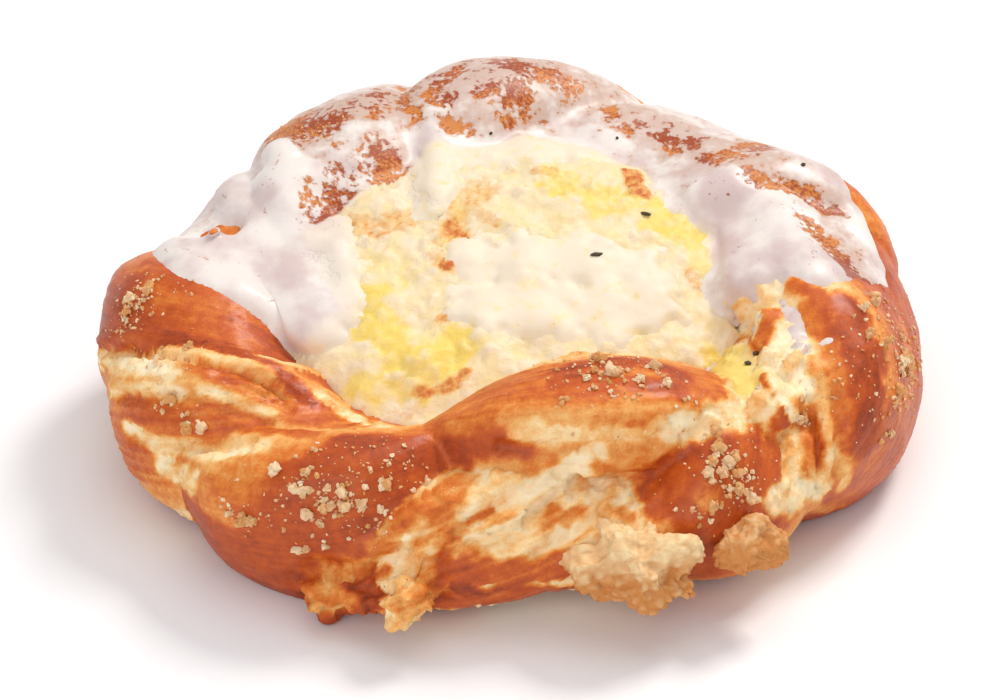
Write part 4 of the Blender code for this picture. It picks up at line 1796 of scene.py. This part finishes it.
@dataclass
class Icing:
    """The skin of icing over the back of the ring and across the filling, with a thick lobe at the left.

    It follows the bun underneath, runs smooth over its creases, and stops where the crust or the curd
    shows through.
    """

    ring: Ring = field(default_factory=Ring)
    voxel: float = 0.52 * MM
    skin: float = 0.45 * MM
    reach: tuple[tuple[float, float], ...] = (
        (0, 1.00), (168, 1.00), (182, 0.88), (195, 0.60), (212, 0.26), (240, 0.25),
        (275, 0.33), (305, 0.42), (332, 0.58), (347, 0.82), (360, 1.00),
    )
    edge_roll: float = 46.0

    def inside(self, points: np.ndarray) -> np.ndarray:
        """How far each point lies inside the icing's edge, seen from above.

        Args:
            points: places on the bun.

        Returns:
            The distances in metres, less than nothing outside.
        """
        flat = (points - np.array(self.ring.middle))[:, :2]
        angle = np.degrees(np.arctan2(flat[:, 1], flat[:, 0])) % 360
        marks = np.array(self.reach)
        share = np.interp(angle, marks[:, 0], marks[:, 1])
        edge = self.ring.place(angle, np.full_like(angle, self.edge_roll), 1.0)
        limit = share * np.linalg.norm((edge - np.array(self.ring.middle))[:, :2], axis=1)
        return limit - np.linalg.norm(flat, axis=1)

    def ground(self, dough: bpy.types.Mesh, filling: bpy.types.Mesh, fills: list[Stroke]) -> Ground:
        """Melts the bun into one skin, with its deep creases filled.

        Args:
            dough: the dough's mesh.
            filling: the filling's mesh.
            fills: the creases to fill.

        Returns:
            The ground that the icing lies on.
        """
        bodies = Bodies()
        for mesh in (dough, filling):
            bodies.add(corners(mesh)[0], faces_of(mesh))
        for mark in fills:
            for start, end in zip(mark.line, mark.line[1:]):
                for step in np.linspace(0, 1, 6):
                    middle = start + step * (end - start) - np.array([0, 0, 0.75 * mark.reach])
                    bodies.add(*rough_ball(middle, np.full(3, mark.reach), 3, height=0.0))
        mesh = remeshed("bun_skin", np.concatenate(bodies.points), bodies.faces, self.voxel)
        points, facing = corners(mesh)
        crust = surface_of(dough)
        off_dough = [crust.find_nearest(Vector(point), 1.2 * MM)[0] is None for point in points]
        curd = relax(mesh, np.array(off_dough, dtype=float), 6)
        return Ground(
            mesh, points, facing, grain(points, 3.2 * MM, 3, 2.0), grain(points, 1.3 * MM, 2, 8.0), curd
        )

    def cover(
        self, ground: Ground, pools: list[Stroke], ends: list[Stroke], runs: list[Stroke], heavy: np.ndarray
    ) -> np.ndarray:
        """Works out where icing lies.

        Args:
            ground: what it lies on.
            pools: where it is thick.
            ends: where it stops short.
            runs: where it ran down beyond its edge.
            heavy: how far each point is under a thick pool.

        Returns:
            1 where icing covers the bun, easing to 0 at its edge.
        """
        points, ragged, fine = ground.points, ground.ragged, ground.fine
        inside = self.inside(points) / MM + 1.6 * ragged * (1 - heavy)
        cover = smooth(-0.4, 1.6, inside) * smooth(16 * MM, 19 * MM, points[:, 2] + 2.0 * MM * ragged)
        cover *= 1 - ground.curd * smooth(0.42, 0.08, strongest(pools, points, 1.5 * ragged + 0.8 * fine))
        cover *= 1 - strongest(ends, points, 1.2 * ragged + 0.6 * fine)
        cover = np.maximum(cover, strongest(runs, points, 0.3 * ragged + 0.3 * fine))
        return relax(ground.mesh, smooth(0.30, 0.90, cover), 3)

    def shell(
        self, mesh: bpy.types.Mesh, outer: np.ndarray, inner: np.ndarray, keep: np.ndarray
    ) -> tuple[bpy.types.Mesh, np.ndarray]:
        """Makes a closed shell of the part of a skin that is kept.

        Args:
            mesh: the skin.
            outer: where its points go on the outside.
            inner: where they go on the inside.
            keep: which of its points the shell has.

        Returns:
            The shell, and which point of the skin each of its points comes from.
        """
        shape = bmesh.new()
        shape.from_mesh(mesh)
        tags = shape.verts.layers.int.new("origin")
        for vert, point in zip(shape.verts, outer.tolist()):
            vert.co = point
            vert[tags] = vert.index
        waste = [face for face in shape.faces if not all(keep[v.index] for v in face.verts)]
        bmesh.ops.delete(shape, geom=waste, context="FACES")
        loose = [vert for vert in shape.verts if not vert.link_faces]
        bmesh.ops.delete(shape, geom=loose, context="VERTS")
        fronts = list(shape.verts)
        backs = bmesh.ops.duplicate(shape, geom=list(shape.faces))
        twins = backs["vert_map"]
        for vert in fronts:
            twins[vert].co = Vector(inner[vert[tags]])
        fresh = [item for item in backs["geom"] if isinstance(item, bmesh.types.BMFace)]
        bmesh.ops.reverse_faces(shape, faces=fresh)
        first = set(fronts)
        rim = [e for e in shape.edges if e.is_boundary and e.verts[0] in first and e.verts[1] in first]
        for edge in rim:
            a, b = edge.verts
            if edge.link_loops[0].vert is a:
                a, b = b, a
            shape.faces.new((a, b, twins[b], twins[a]))
        origins = np.array([vert[tags] for vert in shape.verts])
        return mesh_of("icing_skin", shape), origins

    def build(self, dough: bpy.types.Object, filling: bpy.types.Object) -> bpy.types.Object:
        """Builds the icing over the dough and the filling.

        Args:
            dough: the finished dough.
            filling: the finished filling.

        Returns:
            The icing, which replaces the part's plain one.
        """
        shown = [surface_of(dough.data), surface_of(filling.data)]
        pools, runs, fills, ends, gaps, thin = (
            VIEW.laid(marks, shown)
            for marks in (ICING_THICK, ICING_RUNS, ICING_FILLS, ICING_ENDS, ICING_BARE, ICING_WORN)
        )
        ground = self.ground(dough.data, filling.data, fills)
        mesh, bare, ragged = ground.mesh, ground.points, ground.ragged
        pooled = strongest(pools, bare, 0.4 * ragged)
        heavy = smooth(0.35, 1.1, pooled)
        broken = strongest(gaps, bare, 0.6 * ragged + 0.3 * ground.fine, 1.25)
        cover = self.cover(ground, pools, ends, runs, heavy)
        depth = (0.30 + pooled) * MM * (1 - 0.75 * broken)
        sink = 0.25 * MM + 0.15 * depth
        lift = cover * (depth + sink) - sink
        outward = relax(mesh, ground.facing, 14)
        outward /= np.linalg.norm(outward, axis=1, keepdims=True)
        flow = relax(mesh, bare, 16)
        flow += heavy[:, None] * (relax(mesh, bare, 90) - flow)
        way = (flow - bare) * cover[:, None]
        sunk = np.minimum((way * outward).sum(1), 0.0)
        outer = bare + way + outward * relax(mesh, lift - 0.8 * sunk, 4, 0.5)[:, None]
        outer += (heavy * cover)[:, None] * (relax(mesh, outer, 16) - outer)
        inner = bare - ground.facing * (self.skin + 0.15 * depth)[:, None]
        keep = relax(mesh, (cover > 0.03).astype(float), 2) > 0.05
        made, origins = self.shell(mesh, outer, inner, keep)
        worn = np.maximum(0.6 * strongest(gaps, bare, 0.8 * ragged, 2.2), strongest(thin, bare, ragged))
        for name, values in (
            ("thick", pooled + 0.3 + np.maximum(((flow - bare) * outward).sum(1), 0) / MM),
            ("crust", smooth(0.65, 0.25, ground.curd)),
            ("curd", ground.curd * smooth(1.8, 0.7, pooled)),
            ("worn", worn * (1 - 0.6 * heavy)),
            ("bare", broken),
        ):
            paint(made, name, values[origins])
        piece = placed("icing_skin", made)
        dress(piece, SugarIcing().material())
        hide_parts("icing")
        return piece


# Crumbs


@dataclass(frozen=True)
class Cluster:
    """Crumbs strewn round a place on the rope."""

    angle: float
    roll: float
    spread_angle: float
    spread_roll: float
    number: int


class CrumbSize(Enum):
    """Which crumbs: those that show from a step away, or the dust between them."""

    COARSE = "crumbs_coarse"
    FINE = "crumbs_fine"


@dataclass
class CrumbScatter:
    """Crumble crumbs stuck to the crust in clusters, as one piece for each size."""

    ring: Ring
    size: CrumbSize
    clusters: tuple[Cluster, ...]
    radius: tuple[float, float]
    sink: float
    detail: int
    grains: int
    seed: int

    def build(self, surface: BVHTree) -> bpy.types.Object:
        """Builds the crumbs on the dough.

        Args:
            surface: the dough's surface.

        Returns:
            All the crumbs of this size, as one piece.
        """
        draw = random.Random(self.seed)
        bodies = Bodies()
        toast = []
        for cluster in self.clusters:
            for _ in range(cluster.number):
                angle = cluster.angle + draw.gauss(0, 0.6) * cluster.spread_angle
                roll = cluster.roll + draw.gauss(0, 0.6) * cluster.spread_roll
                start = Vector(self.ring.place(angle, roll, 3.0))
                spot, normal, _, _ = surface.ray_cast(start, Vector(self.ring.core(angle)) - start)
                low, high = self.radius
                radius = low + (high - low) * draw.random() ** 2.2
                if spot is None:
                    continue
                browned = draw.uniform(0.0, 0.7)
                for _ in range(self.grains):
                    part = radius * draw.uniform(0.45, 0.85) if self.grains > 1 else radius
                    sizes = np.array([part * draw.uniform(0.55, 1.25) for _ in range(3)])
                    drift = np.array([draw.gauss(0, 0.5) for _ in range(3)]) * (radius - part) * 1.6
                    middle = np.array(spot + normal * (part * self.sink)) + drift
                    points, faces = rough_ball(middle, sizes, self.detail, 0.9 * part, 0.75)
                    jitter = np.array([draw.uniform(-1, 1) for _ in range(points.size)])
                    bodies.add(points + jitter.reshape(points.shape) * (0.20 * part), faces)
                    toast += [min(1.0, browned + draw.uniform(0.0, 0.3))] * len(points)
        piece = mesh_piece(self.size.value, np.concatenate(bodies.points), bodies.faces)
        paint(piece.data, "toast", np.array(toast))
        piece.data.shade_flat()
        finish = ButterCrumble(name=f"butter_{self.size.value}", cream="#F4DFBC", tan="#D79C5E")
        dress(piece, finish.material())
        return piece


COARSE_CLUSTERS = (
    Cluster(244, 44, 5.5, 16, 34), Cluster(242, 8, 3.0, 8, 5), Cluster(231, 14, 3.0, 5, 6),
    Cluster(250, 60, 4.0, 8, 10), Cluster(186, 50, 3.5, 14, 22), Cluster(202, 62, 3.0, 8, 5),
    Cluster(212, 46, 4.5, 7, 10), Cluster(291, 92, 11.0, 9, 30), Cluster(304, 54, 4.0, 14, 30),
    Cluster(298, 34, 3.0, 5, 6), Cluster(343, 36, 9.0, 12, 14), Cluster(335, 12, 3.0, 6, 4),
    Cluster(346, 62, 6.0, 8, 7), Cluster(322, 60, 5.0, 8, 6),
)
FINE_CLUSTERS = (
    Cluster(244, 46, 9.0, 26, 170), Cluster(231, 14, 6.0, 12, 30), Cluster(252, 70, 9.0, 10, 50),
    Cluster(186, 50, 6.0, 22, 110), Cluster(205, 55, 9.0, 16, 50), Cluster(291, 92, 13.0, 12, 170),
    Cluster(304, 52, 7.0, 22, 110), Cluster(343, 40, 13.0, 24, 190), Cluster(350, 15, 9.0, 16, 80),
    Cluster(328, 60, 8.0, 14, 40), Cluster(131, 80, 8.0, 14, 60), Cluster(150, 110, 8.0, 16, 50),
)


# Crumble lumps and specks


@dataclass
class CrumbleLump:
    """A large lump of crumble stuck to the foot of the front."""

    node: str
    middle: tuple[float, float, float]
    sizes: tuple[float, float, float]
    browned: float

    def build(self, material: bpy.types.Material) -> bpy.types.Object:
        """Builds the lump.

        Args:
            material: the crumble's material.

        Returns:
            The lump, which replaces the part's plain one.
        """
        middle = np.array(self.middle) * MM
        points, faces = rough_ball(middle, np.array(self.sizes) * MM, 6)
        piece = mesh_piece(f"{self.node}_baked", points, faces)
        points, normals = corners(piece.data)
        grit = curds(points, 1.9 * MM, 3.0)
        dust = grain(points, 0.8 * MM, 3, 1.0)
        low = smooth(4.6 * MM, -1.6 * MM, points[:, 2] - middle[2] + 1.4 * MM * grain(points, 3 * MM))
        relief = (0.30 + 0.70 * low) * (0.6 * (grit - 0.95)) + 0.30 * dust - 0.2
        place_corners(piece.data, points + normals * (relief * MM)[:, None])
        paint(piece.data, "toast", np.clip(self.browned + 0.6 * low + 0.25 * (1 - grit), 0, 1))
        dress(piece, material)
        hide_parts(self.node)
        return piece


@dataclass
class Specks:
    """A few dark flecks on the filling and the icing: place, length, width and turn, in millimetres."""

    spots: tuple[tuple[float, ...], ...] = (
        (13.3, 2.4, 1.0, 0.32, 10.0),
        (20.9, 12.6, 0.8, 0.28, -20.0),
        (35.5, -16.8, 0.55, 0.45, 0.0),
        (36.6, -15.9, 0.5, 0.4, 40.0),
        (45.0, 20.9, 0.4, 0.3, 0.0),
        (-2.3, 29.0, 0.28, 0.15, 30.0),
        (17.0, 30.6, 0.24, 0.15, 20.0),
    )

    def build(self, surfaces: list[BVHTree]) -> bpy.types.Object:
        """Builds the specks on the highest surface under each place.

        Args:
            surfaces: the surfaces that they may lie on.

        Returns:
            All the specks, as one piece.
        """
        bodies = Bodies()
        for x, y, length, width, turn in self.spots:
            height = max(hit.z for hit in drop(surfaces, x * MM, y * MM))
            sizes = np.array([length, width, 0.3]) * MM
            points, faces = rough_ball(np.zeros(3), sizes, 3)
            points *= 1 + 0.3 * grain(points + x, 0.5 * MM)[:, None]
            angle = math.radians(turn)
            level = points[:, :2].copy()
            points[:, 0] = level[:, 0] * math.cos(angle) - level[:, 1] * math.sin(angle)
            points[:, 1] = level[:, 0] * math.sin(angle) + level[:, 1] * math.cos(angle)
            bodies.add(points + np.array([x * MM, y * MM, height + 0.1 * MM]), faces)
        piece = mesh_piece("specks", np.concatenate(bodies.points), bodies.faces)
        dress(piece, DarkSpeck().material())
        return piece


# Studio


@dataclass
class Studio:
    """A plain white table, soft light and a camera at the photograph's angle."""

    table_half: float = 1.6
    room_light: float = 0.56

    def build(self) -> None:
        """Builds the table, the lights and the camera."""
        self.table()
        self.light("key", (0.45, 0.45, 0.80), 0.28, 5.8, "#FFFAF3")
        self.light("fill", (-0.35, -0.85, 0.50), 0.80, 3.2, "#FDFCFF")
        self.light("top", (0.05, 0.05, 1.00), 0.70, 1.8, "#FFFFFF")
        self.surround()
        self.camera()

    def table(self) -> None:
        """Makes the table top, which isn't part of the bun."""
        half = self.table_half
        points = np.array([(-half, -half, 0), (half, -half, 0), (half, half, 0), (-half, half, 0)])
        piece = mesh_piece("table_top", points, [(0, 1, 2, 3)])
        piece.data.materials.append(WhiteLaminate().material())

    def stand(self, name: str, data: bpy.types.ID, place: Vector, way: Vector) -> bpy.types.Object:
        """Stands a lamp or a camera at a place, looking along a direction."""
        piece = placed(name, data)
        piece.location = place
        piece.rotation_mode = "QUATERNION"
        piece.rotation_quaternion = way.to_track_quat("-Z", "Y")
        return piece

    def light(self, name: str, place: tuple, size: float, watts: float, colour: str) -> None:
        """Adds a square softbox aimed at the bun.

        Args:
            name: the light's name.
            place: where it stands.
            size: the length of its sides.
            watts: its power.
            colour: its colour.
        """
        lamp = bpy.data.lights.new(name, "AREA")
        lamp.shape = "SQUARE"
        lamp.size = size
        lamp.energy = watts
        lamp.color = srgb(colour)[:3]
        self.stand(name, lamp, Vector(place), Vector(VIEW.aim) - Vector(place))

    def surround(self) -> None:
        """Gives the room an even pale light."""
        world = bpy.data.worlds.new("room")
        world.use_nodes = True
        back = world.node_tree.nodes["Background"]
        back.inputs["Color"].default_value = srgb("#FFFFFF")
        back.inputs["Strength"].default_value = self.room_light
        bpy.context.scene.world = world
        bpy.context.scene.view_settings.view_transform = "Standard"

    def camera(self) -> None:
        """Sets the camera at the photograph's angle."""
        lens = bpy.data.cameras.new("camera")
        lens.lens = VIEW.lens
        lens.sensor_width = VIEW.sensor
        lens.clip_end = 10.0
        bpy.context.scene.camera = self.stand("camera", lens, VIEW.eye(), -VIEW.back())


# The whole bun


def main() -> None:
    """Builds the bun and the studio round it."""
    logging.basicConfig(level=logging.INFO, format="%(message)s")
    ring = Ring()
    dough = TwistedDough(ring).build()
    crust = surface_of(dough.data)
    filling = CheeseFilling(ring).build(crust)
    icing = Icing(ring).build(dough, filling)
    CrumbScatter(ring, CrumbSize.COARSE, COARSE_CLUSTERS, (0.35 * MM, 1.20 * MM), 0.3, 2, 4, 11).build(crust)
    CrumbScatter(ring, CrumbSize.FINE, FINE_CLUSTERS, (0.12 * MM, 0.40 * MM), 0.2, 1, 1, 12).build(crust)
    crumble = ButterCrumble().material()
    CrumbleLump("crumble_lump_large", (18.4, -48.4, 12.2), (9.6, 6.0, 6.0), 0.05).build(crumble)
    CrumbleLump("crumble_lump_small", (34.8, -44.4, 12.6), (5.8, 4.6, 4.4), 0.45).build(crumble)
    Specks().build([crust, surface_of(filling.data), surface_of(icing.data)])
    Studio().build()


if __name__ == "__main__":
    main()
